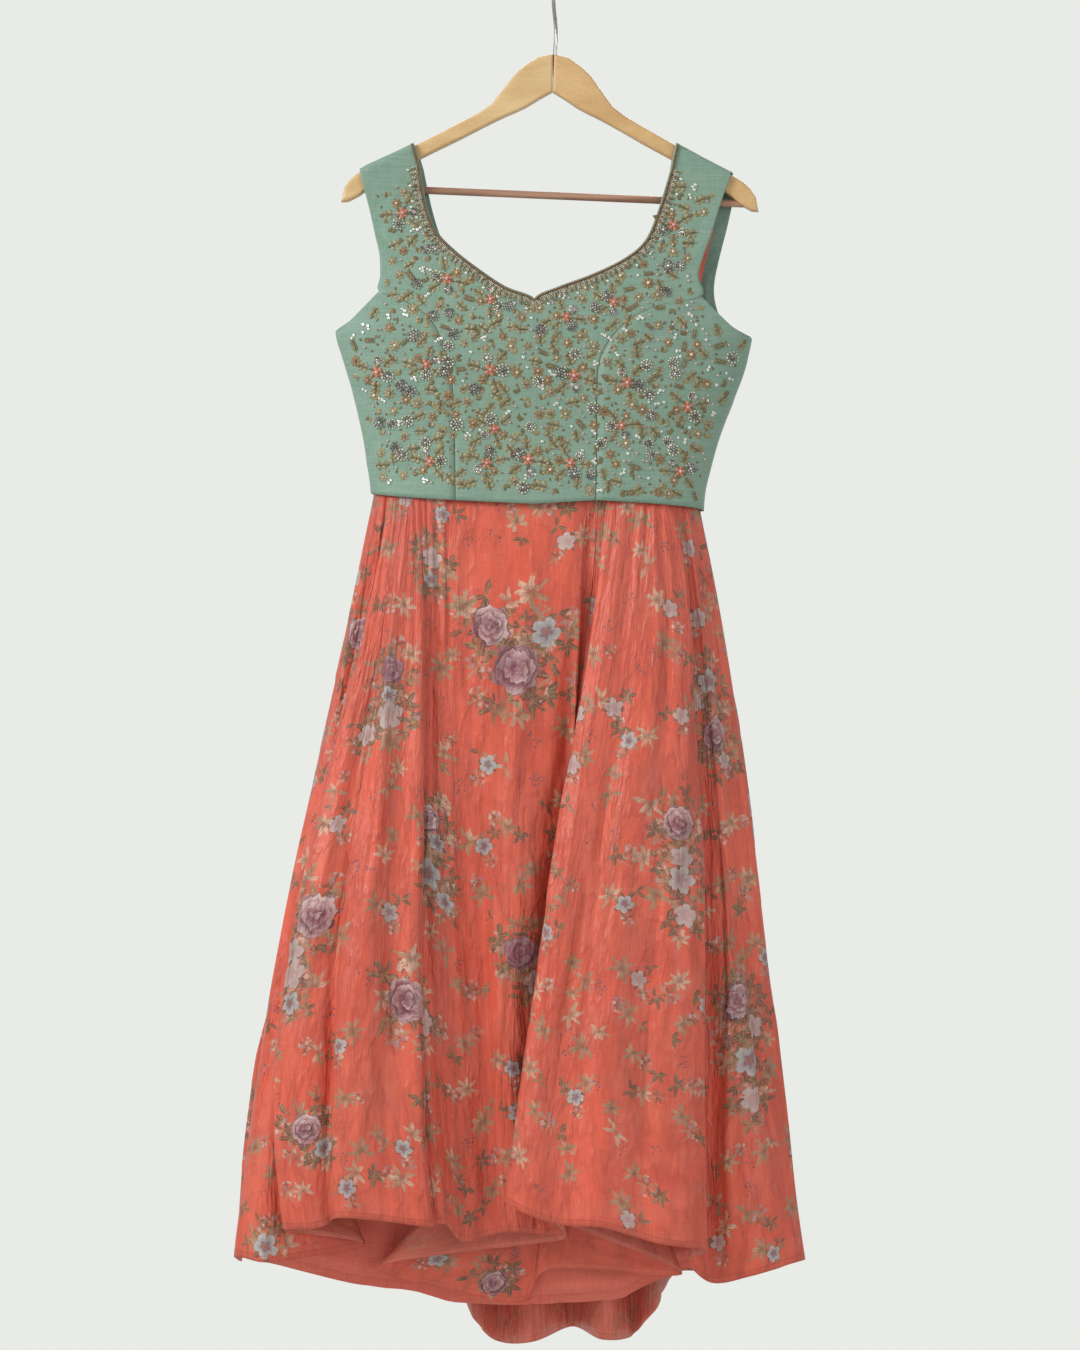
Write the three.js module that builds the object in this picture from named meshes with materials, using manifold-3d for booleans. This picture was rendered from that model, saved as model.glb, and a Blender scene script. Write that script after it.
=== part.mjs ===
// A lehenga set on a wooden hanger: a sleeveless silk top over a long gathered skirt.
// Millimetres, +Z up. The front faces -Y. The origin is the inside top of the hook's wire.
import * as THREE from 'three';
import { mergeVertices } from 'three/addons/utils/BufferGeometryUtils.js';
import Module from 'manifold-3d';

// Driving sizes
const GAP = 0.3; // air between neighbouring pieces
const SILK = 1.8; // wall of the top, lined and faced
const LINING = 1.0;
const SKIRT_WALL = 1.2;
const BAND_WALL = 2.0;
const CORD = 1.5; // radius of the neck piping
const ARM_DEPTH = 14; // the hanger's arms, front to back
const ARM_ROUND = 3; // rounding of the arms' edges
const ARM_TILT = -1.35; // degrees about the middle of the hanger
const WOOD_TOP = -85;
const ROD_RADIUS = 4;
const WIRE_RADIUS = 2.1;
const STRAP_RISE = 2.2; // from the arm to the inside of a strap, room for a ribbon loop
const WAIST = -482; // lower edge of the waistband
const BAND_HEIGHT = 30;
const SEAT = 3; // the skirt starts to widen this far under the top's hem

const wasm = await Module();
wasm.setup();

// ---------------------------------------------------------------- small tools
const lerp = (a, b, t) => a + (b - a) * t;
const clamp01 = (t) => Math.min(1, Math.max(0, t));
const smooth = (a, b, x) => {
  const t = clamp01((x - a) / (b - a));
  return t * t * (3 - 2 * t);
};

// A value read from a table of rows, straight between rows; rows run up in `key`.
function readTable(rows, key, x, name) {
  const last = rows.length - 1;
  let i = 0;
  while (i < last - 1 && x > rows[i + 1][key]) i += 1;
  const t = clamp01((x - rows[i][key]) / (rows[i + 1][key] - rows[i][key]));
  return lerp(rows[i][name], rows[i + 1][name], t);
}

// A smooth curve through the rows' values, `t` counted in rows.
function throughRows(rows, name, t) {
  const last = rows.length - 1;
  const i = Math.min(last - 1, Math.floor(t));
  const f = t - i;
  const at = (k) => rows[Math.min(last, Math.max(0, k))][name];
  const [a, b, c, d] = [at(i - 1), at(i), at(i + 1), at(i + 2)];
  if (b === c) return b;
  return b + 0.5 * f * (c - a + f * (2 * a - 5 * b + 4 * c - d + f * (3 * (b - c) + d - a)));
}

// A sheet of cloth: points with the way out of the cloth at each, joined by four-sided faces.
class Sheet {
  constructor() {
    this.points = [];
    this.outs = [];
    this.faces = [];
    this.found = new Map();
  }

  point(p, out) {
    const key = p.toArray().map((v) => Math.round(v * 200)).join();
    if (!this.found.has(key)) {
      this.found.set(key, this.points.length);
      this.points.push(p);
      this.outs.push(out);
    }
    return this.found.get(key);
  }

  // rows of [point, out] pairs; seen from outside, a row runs left to right, rows run upwards
  grid(rows) {
    const ids = rows.map((row) => row.map(([p, out]) => this.point(p, out)));
    for (let j = 0; j < ids.length - 1; j += 1) {
      for (let i = 0; i < ids[j].length - 1; i += 1) {
        this.faces.push([ids[j][i], ids[j][i + 1], ids[j + 1][i + 1], ids[j + 1][i]]);
      }
    }
    return this;
  }

  // The sheet made into a wall of the given thickness, measured inwards.
  wall(thickness) {
    const count = this.points.length;
    const places = this.points.flatMap((p) => p.toArray());
    this.points.forEach((p, i) => {
      places.push(...p.clone().addScaledVector(this.outs[i], -thickness).toArray());
    });
    const index = [];
    const edges = new Set();
    const quad = (a, b, c, d) => index.push(a, b, c, a, c, d);
    for (const face of this.faces) {
      const [a, b, c, d] = face;
      quad(a, b, c, d);
      quad(d + count, c + count, b + count, a + count);
      face.forEach((from, k) => edges.add(`${from},${face[(k + 1) % 4]}`));
    }
    for (const edge of edges) {
      const [from, to] = edge.split(',').map(Number);
      if (!edges.has(`${to},${from}`)) quad(to, from, from + count, to + count);
    }
    return geometryOf(places, index);
  }
}

function geometryOf(places, index) {
  const geometry = new THREE.BufferGeometry();
  geometry.setAttribute('position', new THREE.Float32BufferAttribute(places, 3));
  geometry.setIndex(index);
  return geometry;
}

function solidOf(geometry) {
  const bare = geometry.clone();
  bare.deleteAttribute('normal');
  bare.deleteAttribute('uv');
  const merged = mergeVertices(bare, 1e-4);
  return new wasm.Manifold(new wasm.Mesh({
    numProp: 3,
    vertProperties: new Float32Array(merged.attributes.position.array),
    triVerts: new Uint32Array(merged.index.array),
  }));
}

function meshOf(solid) {
  const { vertProperties, triVerts } = solid.getMesh();
  return geometryOf(Array.from(vertProperties), Array.from(triVerts));
}

// A round bar or cord along a curve.
function cord(curve, radius, steps, sides = 8) {
  const outline = new THREE.Shape(
    Array.from({ length: sides }, (_, k) => {
      const turn = (2 * Math.PI * k) / sides;
      return new THREE.Vector2(radius * Math.cos(turn), radius * Math.sin(turn));
    }),
  );
  return new THREE.ExtrudeGeometry(outline, { steps, extrudePath: curve, bevelEnabled: false });
}

const group = new THREE.Group();

function add(name, geometry, color, roughness, metalness = 0) {
  const material = new THREE.MeshStandardMaterial({ color, roughness, metalness });
  const mesh = new THREE.Mesh(geometry, material);
  mesh.name = name;
  group.add(mesh);
}

// ---------------------------------------------------------------- the hanger
// The arm from the middle outwards, before the tilt: top and bottom edge at each distance.
const ARM = [
  { out: 0, top: -85, bottom: -126 },
  { out: 15, top: -88, bottom: -133 },
  { out: 29, top: -97.5, bottom: -142 },
  { out: 39, top: -107, bottom: -147 },
  { out: 50, top: -122, bottom: -152 },
  { out: 62, top: -138, bottom: -158 },
  { out: 77, top: -149, bottom: -166 },
  { out: 97, top: -160, bottom: -177 },
  { out: 130, top: -178, bottom: -194 },
  { out: 165, top: -196, bottom: -213 },
  { out: 195, top: -210.5, bottom: -233 },
  { out: 204, top: -216, bottom: -240 },
  { out: 211, top: -222.5, bottom: -244 },
  { out: 216, top: -229.5, bottom: -246.5 },
  { out: 222, top: -241, bottom: -248 },
];
const TILT = THREE.MathUtils.degToRad(ARM_TILT);
const TILT_AT = -106;

// A point of the hanger's own drawing after the tilt.
function tilted(x, z, y = 0) {
  const up = z - TILT_AT;
  return new THREE.Vector3(
    x * Math.cos(TILT) - up * Math.sin(TILT), y,
    TILT_AT + x * Math.sin(TILT) + up * Math.cos(TILT),
  );
}

function armTop(x) {
  const edge = ARM.map(({ out, top }) => {
    const p = tilted(Math.sign(x) * out, top);
    return { out: Math.abs(p.x), top: p.z };
  });
  return readTable(edge, 'out', Math.abs(x), 'top');
}

function armSolid(side) {
  const inset = 0.5 * GAP;
  const round = ARM_ROUND;
  const edge = (name, sign) => ARM.map((row, k) => new THREE.Vector2(
    side * Math.min(Math.max(row.out, inset + round), 222 - round - (k === ARM.length - 1 ? 0 : 1)),
    row[name] + sign * round,
  ));
  const top = edge('top', -1);
  const bottom = edge('bottom', 1).slice(0, -1);
  const outline = new THREE.Shape([...top, ...bottom.reverse()]);
  const geometry = new THREE.ExtrudeGeometry(outline, {
    depth: ARM_DEPTH - 2 * round, steps: 1, curveSegments: 1,
    bevelEnabled: true, bevelThickness: round, bevelSize: round, bevelSegments: 3,
  });
  geometry.rotateX(Math.PI / 2); // the drawing's up becomes +Z and its depth -Y
  geometry.translate(0, ARM_DEPTH / 2 - round, -TILT_AT);
  geometry.rotateY(-TILT);
  geometry.translate(0, 0, TILT_AT);
  return solidOf(geometry);
}

const rodLine = new THREE.LineCurve3(
  new THREE.Vector3(-206, 0, -226), new THREE.Vector3(203, 0, -243.5),
);
// The hook: a stem out of the wood, a turn to the back, over the top and down in front.
const hookLine = new THREE.CatmullRomCurve3([
  [2, 0, -108], [2, 0, -86], [3, 0, -69], [3, 2, -56], [2, 9, -43], [1, 17, -31],
  [0.5, 21, -19], [0, 18, -7], [0, 10.5, -0.5], [0, 0, WIRE_RADIUS + 0.05],
  [0, -10.5, -0.5], [-1, -18, -7], [-1.5, -21, -19], [-1.5, -20, -29],
].map((p) => new THREE.Vector3(...p)));

function buildHanger() {
  const socket = new THREE.LineCurve3(rodLine.v1.clone(), rodLine.v2.clone());
  const reach = rodLine.v2.clone().sub(rodLine.v1).normalize().multiplyScalar(GAP);
  socket.v1.sub(reach);
  socket.v2.add(reach);
  const rodHole = solidOf(cord(socket, ROD_RADIUS + GAP, 1, 16));
  const stemHole = solidOf(cord(new THREE.LineCurve3(
    new THREE.Vector3(2, 0, -108.5), new THREE.Vector3(2.2, 0, -70)), WIRE_RADIUS + GAP, 1, 12));
  for (const [name, side] of [['hanger_arm_left', -1], ['hanger_arm_right', 1]]) {
    const arm = armSolid(side).subtract(rodHole).subtract(stemHole);
    add(name, meshOf(arm), side < 0 ? 0xdcc08c : 0xd6b57c, 0.55);
  }
  add('hanger_rod', cord(rodLine, ROD_RADIUS, 1, 16), 0x9a6038, 0.5);
  add('hanger_hook', cord(hookLine, WIRE_RADIUS, 34, 10), 0xb9b9b6, 0.3, 1);
}

// ---------------------------------------------------------------- the body of the top
// Sections of the top: the ends of each, and how far the front and back stand from the middle.
const BODY = [
  { z: -575, left: -193.5, right: 160.5, front: 47, back: 48 },
  { z: -551, left: -194, right: 162, front: 46, back: 47 },
  { z: -533, left: -196, right: 166, front: 44, back: 46 },
  { z: -494, left: -202, right: 177, front: 42, back: 44 },
  { z: -449, left: -212, right: 194, front: 44, back: 42 },
  { z: -421, left: -220, right: 205, front: 47, back: 41 },
  { z: -385, left: -232, right: 213, front: 46, back: 40 },
  { z: -330, left: -232, right: 213, front: 38, back: 36 },
  { z: -170, left: -228, right: 210, front: 30, back: 30 },
];
const FULLNESS = 2.4; // 2 is an ellipse, more is flatter in front
const STRAP_SIDE = ARM_DEPTH / 2 + STRAP_RISE + SILK; // the strap's outside beside the arm
const SIDE_CLOSING = 0.015; // panels that end this near a side seam, in half widths, reach it
const FLAT_FROM = -350; // straps lie flatter from here
const FLAT_AT = -232; // and flat beside the arm from here up

// One quarter-turn rule for every oval section: how much of the depth is reached.
const oval = (across) => (1 - Math.abs(across) ** FULLNESS) ** (1 / FULLNESS);

// The outside of the top. turn 0 is its right end, PI/2 the front, PI the left end, < 0 the back.
function bodyPoint(turn, z) {
  const left = readTable(BODY, 'z', z, 'left');
  const right = readTable(BODY, 'z', z, 'right');
  const depth = readTable(BODY, 'z', z, turn > 0 ? 'front' : 'back');
  const across = Math.cos(turn);
  const off = lerp(depth * oval(across), STRAP_SIDE, smooth(FLAT_FROM, FLAT_AT, z));
  const x = lerp(left, right, 0.5 * (1 + across));
  return new THREE.Vector3(x, -Math.sign(Math.sin(turn)) * (off + 0.5 * GAP), z);
}

function turnAt(x, z, front) {
  const left = readTable(BODY, 'z', z, 'left');
  const right = readTable(BODY, 'z', z, 'right');
  const nearly = 1 - 1e-7; // the side seams stay on their own side of the middle
  const across = (2 * (x - left)) / (right - left) - 1;
  const closed = across * (1 + SIDE_CLOSING * across ** 40);
  const turn = Math.acos(Math.min(nearly, Math.max(-nearly, closed)));
  return front ? turn : -turn;
}

// The way out of the cloth on a level line; the ends look straight out to the side.
function bodyOut(turn, z) {
  const side = Math.abs(turn);
  if (side < 0.02 || side > Math.PI - 0.02) return new THREE.Vector3(side < 1 ? 1 : -1, 0, 0);
  const step = 0.02;
  const along = bodyPoint(turn - step, z).sub(bodyPoint(turn + step, z));
  return new THREE.Vector3(along.y, -along.x, 0).normalize();
}

// The last rows of a strap: beside the arm, round its edge and up to the shoulder line.
const OVER_ARM = [
  { tip: 0, below: 6 },
  { tip: 30, below: 0 },
  { tip: 60, below: 0 },
  { tip: 90, below: 0 },
  { tip: 90, below: 0, top: true },
];
// Ends of the shoulder lines, where a front strap meets its back strap.
const SHOULDER = {
  frontLeft: { outer: -206, inner: -149 },
  backLeft: { outer: -206, inner: -149 },
  frontRight: { outer: 183, inner: 132 },
  backRight: { outer: 193, inner: 132 },
};
// How far a row of OVER_ARM has come from the strap's width to its shoulder line.
const shoulderLean = (row) => 0.65 + 0.35 * (row.tip / 90) - 0.034 * row.below;

function strapPoint(x, row, front) {
  const sign = front ? -1 : 1;
  const tip = THREE.MathUtils.degToRad(row.tip);
  const reach = ARM_ROUND + STRAP_RISE + SILK;
  const flat = ARM_DEPTH / 2 - ARM_ROUND;
  const y = row.top ? 0.5 * GAP : flat + reach * Math.cos(tip) + 0.5 * GAP;
  const z = armTop(x) - ARM_ROUND + reach * Math.sin(tip) - row.below;
  const out = new THREE.Vector3(0, sign * Math.cos(tip), Math.sin(tip));
  return [new THREE.Vector3(x, sign * y, z), out];
}

// A panel of the top from its cross lines: each row joins an outer place to an inner place.
function panelRows(lines, { front, columns, each, strap, shift = [0, 0], upTo = lines.length }) {
  const rows = [];
  const steps = (upTo - 1) * each;
  for (let j = 0; j <= steps; j += 1) {
    const at = (name) => throughRows(lines, name, j / each);
    const [za, zb] = [at('outerZ'), at('innerZ')];
    const a = turnAt(at('outerX') + shift[0], za, front);
    const b = turnAt(at('innerX') + shift[1], zb, front);
    rows.push(Array.from({ length: columns + 1 }, (_, i) => {
      const t = i / columns;
      const [turn, z] = [lerp(a, b, t), lerp(za, zb, t)];
      return [bodyPoint(turn, z), bodyOut(turn, z)];
    }));
  }
  if (strap) {
    const last = lines[lines.length - 1];
    for (const row of OVER_ARM) {
      const lean = shoulderLean(row);
      const outer = lerp(last.outerX + shift[0], strap.outer, lean);
      const inner = lerp(last.innerX + shift[1], strap.inner, lean);
      rows.push(Array.from(
        { length: columns + 1 }, (_, i) => strapPoint(lerp(outer, inner, i / columns), row, front)));
    }
  }
  return rows;
}

const mirrorRows = (rows) => rows.map((row) => [...row].reverse());

// Cross lines of the front's two halves: the seam or armhole edge, and the middle or neck edge.
const FRONT_LEFT = [
  { outerX: -103, outerZ: -561, innerX: -20, innerZ: -565 },
  { outerX: -104, outerZ: -498, innerX: -20, innerZ: -500 },
  { outerX: -106, outerZ: -445, innerX: -20, innerZ: -445 },
  { outerX: -112, outerZ: -408, innerX: -20, innerZ: -405 },
  { outerX: -128, outerZ: -372, innerX: -20, innerZ: -372 },
  { outerX: -155, outerZ: -351, innerX: -20, innerZ: -348 },
  { outerX: -184, outerZ: -340, innerX: -50, innerZ: -335 },
  { outerX: -183, outerZ: -322, innerX: -78, innerZ: -316 },
  { outerX: -184, outerZ: -300, innerX: -104, innerZ: -295 },
  { outerX: -189, outerZ: -278, innerX: -124, innerZ: -273 },
  { outerX: -195, outerZ: -251, innerX: -134, innerZ: -246 },
  { outerX: -202, outerZ: -224, innerX: -141, innerZ: -204 },
];
const FRONT_RIGHT = [
  { outerX: 45, outerZ: -561, innerX: -20, innerZ: -565 },
  { outerX: 46, outerZ: -498, innerX: -20, innerZ: -500 },
  { outerX: 46, outerZ: -448, innerX: -20, innerZ: -445 },
  { outerX: 51, outerZ: -408, innerX: -20, innerZ: -405 },
  { outerX: 76, outerZ: -374, innerX: -20, innerZ: -372 },
  { outerX: 110, outerZ: -356, innerX: -20, innerZ: -348 },
  { outerX: 157, outerZ: -345, innerX: 6, innerZ: -335 },
  { outerX: 154, outerZ: -323, innerX: 40, innerZ: -322 },
  { outerX: 159, outerZ: -303, innerX: 74, innerZ: -305 },
  { outerX: 167, outerZ: -281, innerX: 97, innerZ: -285 },
  { outerX: 176, outerZ: -251, innerX: 111, innerZ: -253 },
  { outerX: 184, outerZ: -228, innerX: 125, innerZ: -207 },
];
// The side fronts share their inner edge with the first rows above.
const SIDE_LEFT = [
  { x: -194, z: -551 }, { x: -200, z: -498 }, { x: -213, z: -447 }, { x: -223, z: -413 },
  { x: -232, z: -385 }, { x: -212, z: -367 }, { x: -187, z: -342 },
];
const SIDE_RIGHT = [
  { x: 161.5, z: -571 }, { x: 176, z: -498 }, { x: 193, z: -450 }, { x: 205, z: -420 },
  { x: 213, z: -392 }, { x: 188, z: -375 }, { x: 160, z: -348 },
];
const BACK_RIGHT = [
  { outerX: 161.5, outerZ: -571, innerX: -20, innerZ: -566 },
  { outerX: 176, outerZ: -498, innerX: -20, innerZ: -498 },
  { outerX: 193, outerZ: -450, innerX: -20, innerZ: -450 },
  { outerX: 205, outerZ: -420, innerX: -20, innerZ: -415 },
  { outerX: 213, outerZ: -392, innerX: -20, innerZ: -385 },
  { outerX: 195, outerZ: -378, innerX: -20, innerZ: -361 },
  { outerX: 181, outerZ: -365, innerX: 24, innerZ: -347 },
  { outerX: 174, outerZ: -346, innerX: 57, innerZ: -327 },
  { outerX: 173, outerZ: -326, innerX: 84, innerZ: -304 },
  { outerX: 178, outerZ: -300, innerX: 103, innerZ: -278 },
  { outerX: 186, outerZ: -268, innerX: 114, innerZ: -248 },
  { outerX: 193, outerZ: -236, innerX: 124, innerZ: -212 },
];
const BACK_LEFT = [
  { outerX: -194, outerZ: -551, innerX: -20, innerZ: -566 },
  { outerX: -200, outerZ: -498, innerX: -20, innerZ: -498 },
  { outerX: -213, outerZ: -447, innerX: -20, innerZ: -450 },
  { outerX: -223, outerZ: -413, innerX: -20, innerZ: -415 },
  { outerX: -232, outerZ: -385, innerX: -20, innerZ: -385 },
  { outerX: -214, outerZ: -371, innerX: -20, innerZ: -361 },
  { outerX: -194, outerZ: -352, innerX: -62, innerZ: -347 },
  { outerX: -180, outerZ: -330, innerX: -92, innerZ: -320 },
  { outerX: -177, outerZ: -305, innerX: -109, innerZ: -298 },
  { outerX: -181, outerZ: -278, innerX: -121, innerZ: -274 },
  { outerX: -188, outerZ: -251, innerX: -130, innerZ: -244 },
  { outerX: -197, outerZ: -226, innerX: -138, innerZ: -206 },
];
const SEAM_ROWS = SIDE_LEFT.length; // rows of the front up to where the seam meets the armhole

// One row more than the seam has, so that both panels follow the same curve to its end.
function sideLines(side, front) {
  return [...side, side[side.length - 1]].map(({ x, z }, k) => ({
    outerX: x, outerZ: z, innerX: front[k].outerX, innerZ: front[k].outerZ,
  }));
}

function frontRows(lines, sign, strap) {
  const seam = lines.map((row, k) => ({
    ...row, outerX: row.outerX + (k < SEAM_ROWS ? sign * GAP : 0),
  }));
  return panelRows(seam, { front: true, columns: 5, each: 2, strap });
}

function buildTop() {
  const centre = new Sheet();
  centre.grid(frontRows(FRONT_LEFT, 1, SHOULDER.frontLeft));
  centre.grid(mirrorRows(frontRows(FRONT_RIGHT, -1, SHOULDER.frontRight)));
  add('front_centre', centre.wall(SILK), 0x7aa694, 0.6);

  const side = { front: true, columns: 5, each: 2, upTo: SEAM_ROWS };
  const left = panelRows(sideLines(SIDE_LEFT, FRONT_LEFT), { ...side, shift: [0, -GAP] });
  add('front_side_left', new Sheet().grid(left).wall(SILK), 0x7aa694, 0.6);
  const right = panelRows(sideLines(SIDE_RIGHT, FRONT_RIGHT), { ...side, shift: [0, GAP] });
  add('front_side_right', new Sheet().grid(mirrorRows(right)).wall(SILK), 0x7aa694, 0.6);

  const whole = { front: false, columns: 8, each: 2 };
  const back = new Sheet();
  back.grid(panelRows(BACK_RIGHT, { ...whole, strap: SHOULDER.backRight }));
  back.grid(mirrorRows(panelRows(BACK_LEFT, { ...whole, strap: SHOULDER.backLeft })));
  add('back', back.wall(SILK), 0x7aa694, 0.6);
}

// The lining is set in from the armholes, the neck and the hem, and ends below the straps.
const FACING = 14;

function liningRows(lines) {
  const sign = Math.sign(lines[0].outerX);
  const inset = lines.slice(0, -1).map((row, k) => ({
    outerX: row.outerX - sign * (k > 3 ? FACING : 4),
    innerX: row.innerX === lines[0].innerX ? row.innerX : row.innerX + sign * FACING * 0.7,
    outerZ: row.outerZ + (k === 0 ? FACING : 0),
    innerZ: row.innerZ + (k === 0 ? FACING : 0) - (k === 5 ? FACING * 0.7 : 0),
  }));
  const rows = panelRows(inset, { front: false, columns: 8, each: 1 });
  const depth = SILK + GAP + 1.3; // flat faces of the back dip in between its points
  return rows.map((row) => row.map(([p, out]) => [p.clone().addScaledVector(out, -depth), out]));
}

function buildBackLining() {
  const lining = new Sheet();
  lining.grid(liningRows(BACK_RIGHT));
  lining.grid(mirrorRows(liningRows(BACK_LEFT)));
  add('back_lining', lining.wall(LINING), 0xd96a50, 0.7);
}

// The piping lies on the front, just in from the neck edge, from shoulder to shoulder.
function buildPiping() {
  const inset = 2.4;
  const lift = CORD + GAP + 0.5;
  const edge = (lines, strap) => {
    const points = [];
    for (let t = 5; t <= lines.length - 1; t += 0.5) {
      const at = (name) => throughRows(lines, name, t);
      const inner = new THREE.Vector2(at('innerX'), at('innerZ'));
      const outer = new THREE.Vector2(at('outerX'), at('outerZ'));
      if (t === 5) outer.set(inner.x, inner.y - 100);
      inner.add(outer.sub(inner).normalize().multiplyScalar(inset));
      const turn = turnAt(inner.x, inner.y, true);
      points.push(bodyPoint(turn, inner.y).addScaledVector(bodyOut(turn, inner.y), lift));
    }
    const last = lines[lines.length - 1];
    for (const row of OVER_ARM.slice(0, 4)) {
      const neck = lerp(last.innerX, strap.inner, shoulderLean(row));
      const x = neck + inset * Math.sign(last.outerX - last.innerX);
      const [p, out] = strapPoint(x, row, true);
      points.push(p.addScaledVector(out, lift));
    }
    return points;
  };
  const path = [
    ...edge(FRONT_LEFT, SHOULDER.frontLeft).reverse(),
    ...edge(FRONT_RIGHT, SHOULDER.frontRight).slice(1)];
  const line = new THREE.CatmullRomCurve3(path, false, 'centripetal');
  add('neck_piping', cord(line, CORD, 64, 6), 0x8c6a45, 0.5, 0.3);
}

// ---------------------------------------------------------------- the skirt
// The top's hem from left to right; the skirt widens just under it.
const TOP_HEM = [
  { x: -194, z: -551 }, { x: -119, z: -560 }, { x: -20, z: -565.5 }, { x: 49, z: -561 },
  { x: 102, z: -563 }, { x: 161, z: -571 },
];
const SEAT_OVAL = { left: -191.3, right: 158, front: 42, back: 39 };
const WAIST_OVAL = { left: -186, right: 152, front: 36.5, back: 34.5 };
const PLEAT = 0.04; // how much of a fold's depth is already there at the seat
const OPENING = 0.8; // folds open fast below the seat, then more slowly

// Fold lines of the front from the left side seam to the right one. x0 is at the seat, x1 and x2
// a third and two thirds of the way down, x3 at the hem; y and hem are the fold's place there.
const FRONT_FOLDS = [
  { name: 'side_left', x0: -191, x1: -247, x2: -300, x3: -332, y: 0, hem: -1370 },
  { name: 'left_edge', x0: -190, x1: -248, x2: -302, x3: -339, y: -26, hem: -1360 },
  { name: 'p1_crest', x0: -186, x1: -235, x2: -288, x3: -306, y: -52, hem: -1363 },
  { name: 'p1_right', x0: -182, x1: -227, x2: -275, x3: -267, y: -44, hem: -1360 },
  { name: 'p1_inner', x0: -177, x1: -215, x2: -255, x3: -198, y: -18, hem: -1349 },
  { name: 'p2_left', x0: -173, x1: -230, x2: -283, x3: -279, y: -70, hem: -1327 },
  { name: 'p2_crest', x0: -168, x1: -213, x2: -260, x3: -254, y: -84, hem: -1323 },
  { name: 'p2_notch', x0: -163, x1: -195, x2: -228, x3: -232, y: -76, hem: -1317 },
  { name: 'p3_left', x0: -157, x1: -183, x2: -207, x3: -217, y: -96, hem: -1309 },
  { name: 'p3_mid', x0: -150, x1: -161, x2: -174, x3: -168, y: -100, hem: -1314 },
  { name: 'p3_right', x0: -143, x1: -142, x2: -145, x3: -130, y: -90, hem: -1320 },
  { name: 'p4_in', x0: -137, x1: -136, x2: -141, x3: -127, y: -70, hem: -1322 },
  { name: 'p4', x0: -130, x1: -128, x2: -128, x3: -113, y: -64, hem: -1321 },
  { name: 'p5', x0: -117, x1: -112, x2: -103, x3: -96, y: -50, hem: -1341 },
  { name: 'p6', x0: -102, x1: -96, x2: -80, x3: -71, y: -46, hem: -1337 },
  { name: 'p7', x0: -61, x1: -61, x2: -59, x3: -47, y: -52, hem: -1331 },
  { name: 'p7_hidden', x0: -9, x1: -26, x2: -35, x3: -19, y: -44, hem: -1334 },
  { name: 'deep_right', x0: 30, x1: 19, x2: 7, x3: 9, y: -34, hem: -1342 },
  { name: 'deep_left', x0: 37, x1: 17, x2: -24, x3: -184, y: -22, hem: -1371 },
  { name: 'deep_mid', x0: 42, x1: 21, x2: -9, x3: -104, y: -9, hem: -1400 },
  { name: 'deep_end', x0: 47, x1: 27, x2: 3, x3: -30, y: -7, hem: -1412 },
  { name: 'deep_turn', x0: 50, x1: 31, x2: 22, x3: -2, y: -13, hem: -1376 },
  { name: 'deep_far', x0: 54, x1: 42, x2: 62, x3: 136, y: -32, hem: -1379 },
  { name: 'p8_under', x0: 57, x1: 34, x2: 28, x3: 46, y: -62, hem: -1334 },
  { name: 'p8_left', x0: 59, x1: 21, x2: -16, x3: -48, y: -84, hem: -1295 },
  { name: 'p8_slope', x0: 73, x1: 39, x2: 3, x3: -24, y: -106, hem: -1306 },
  { name: 'p8_trough', x0: 90, x1: 62, x2: 32, x3: 7, y: -103, hem: -1316 },
  { name: 'p8_crest', x0: 104, x1: 94, x2: 65, x3: 53, y: -114, hem: -1318 },
  { name: 'p8_wide', x0: 117, x1: 129, x2: 120, x3: 111, y: -104, hem: -1336 },
  { name: 'p8_right', x0: 128, x1: 153, x2: 157, x3: 161, y: -78, hem: -1346 },
  { name: 'p9_in', x0: 133, x1: 147, x2: 149, x3: 143, y: -48, hem: -1363 },
  { name: 'p9_left', x0: 138, x1: 160, x2: 167, x3: 167, y: -42, hem: -1386 },
  { name: 'p9_crest', x0: 143, x1: 171, x2: 192, x3: 207, y: -56, hem: -1377 },
  { name: 'p9_right', x0: 149, x1: 182, x2: 214, x3: 244, y: -36, hem: -1369 },
  { name: 'right_edge', x0: 155.5, x1: 201, x2: 232, x3: 267, y: -14, hem: -1366 },
  { name: 'side_right', x0: 157.5, x1: 200, x2: 230, x3: 263, y: 0, hem: -1367 },
];
// The back's folds from the right side seam to the left one, with the hollow after each.
const BACK_FOLDS = [
  { x0: 145, x1: 182, x2: 213, x3: 240, y: 62, hollow: 34, hem: -1380 },
  { x0: 104, x1: 127, x2: 143, x3: 134, y: 88, hollow: 40, hem: -1396 },
  { x0: 56, x1: 70, x2: 80, x3: 86, y: 78, hollow: 34, hem: -1462 },
  { x0: 8, x1: 10, x2: 14, x3: 21, y: 98, hollow: 44, hem: -1456 },
  { x0: -41, x1: -46, x2: -52, x3: -59, y: 84, hollow: 36, hem: -1470 },
  { x0: -89, x1: -105, x2: -117, x3: -108, y: 94, hollow: 40, hem: -1408 },
  { x0: -137, x1: -161, x2: -187, x3: -214, y: 72, hollow: 30, hem: -1390 },
  { x0: -177, x1: -221, x2: -259, x3: -289, y: 50, hem: -1376 },
];

const middleOf = ({ left, right }) => 0.5 * (left + right);

// How far an oval section stands from the middle at a place across it.
function standAt(section, x, depth) {
  const across = (x - middleOf(section)) / (0.5 * (section.right - section.left));
  return depth * oval(Math.min(0.9999, Math.abs(across)));
}

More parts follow.
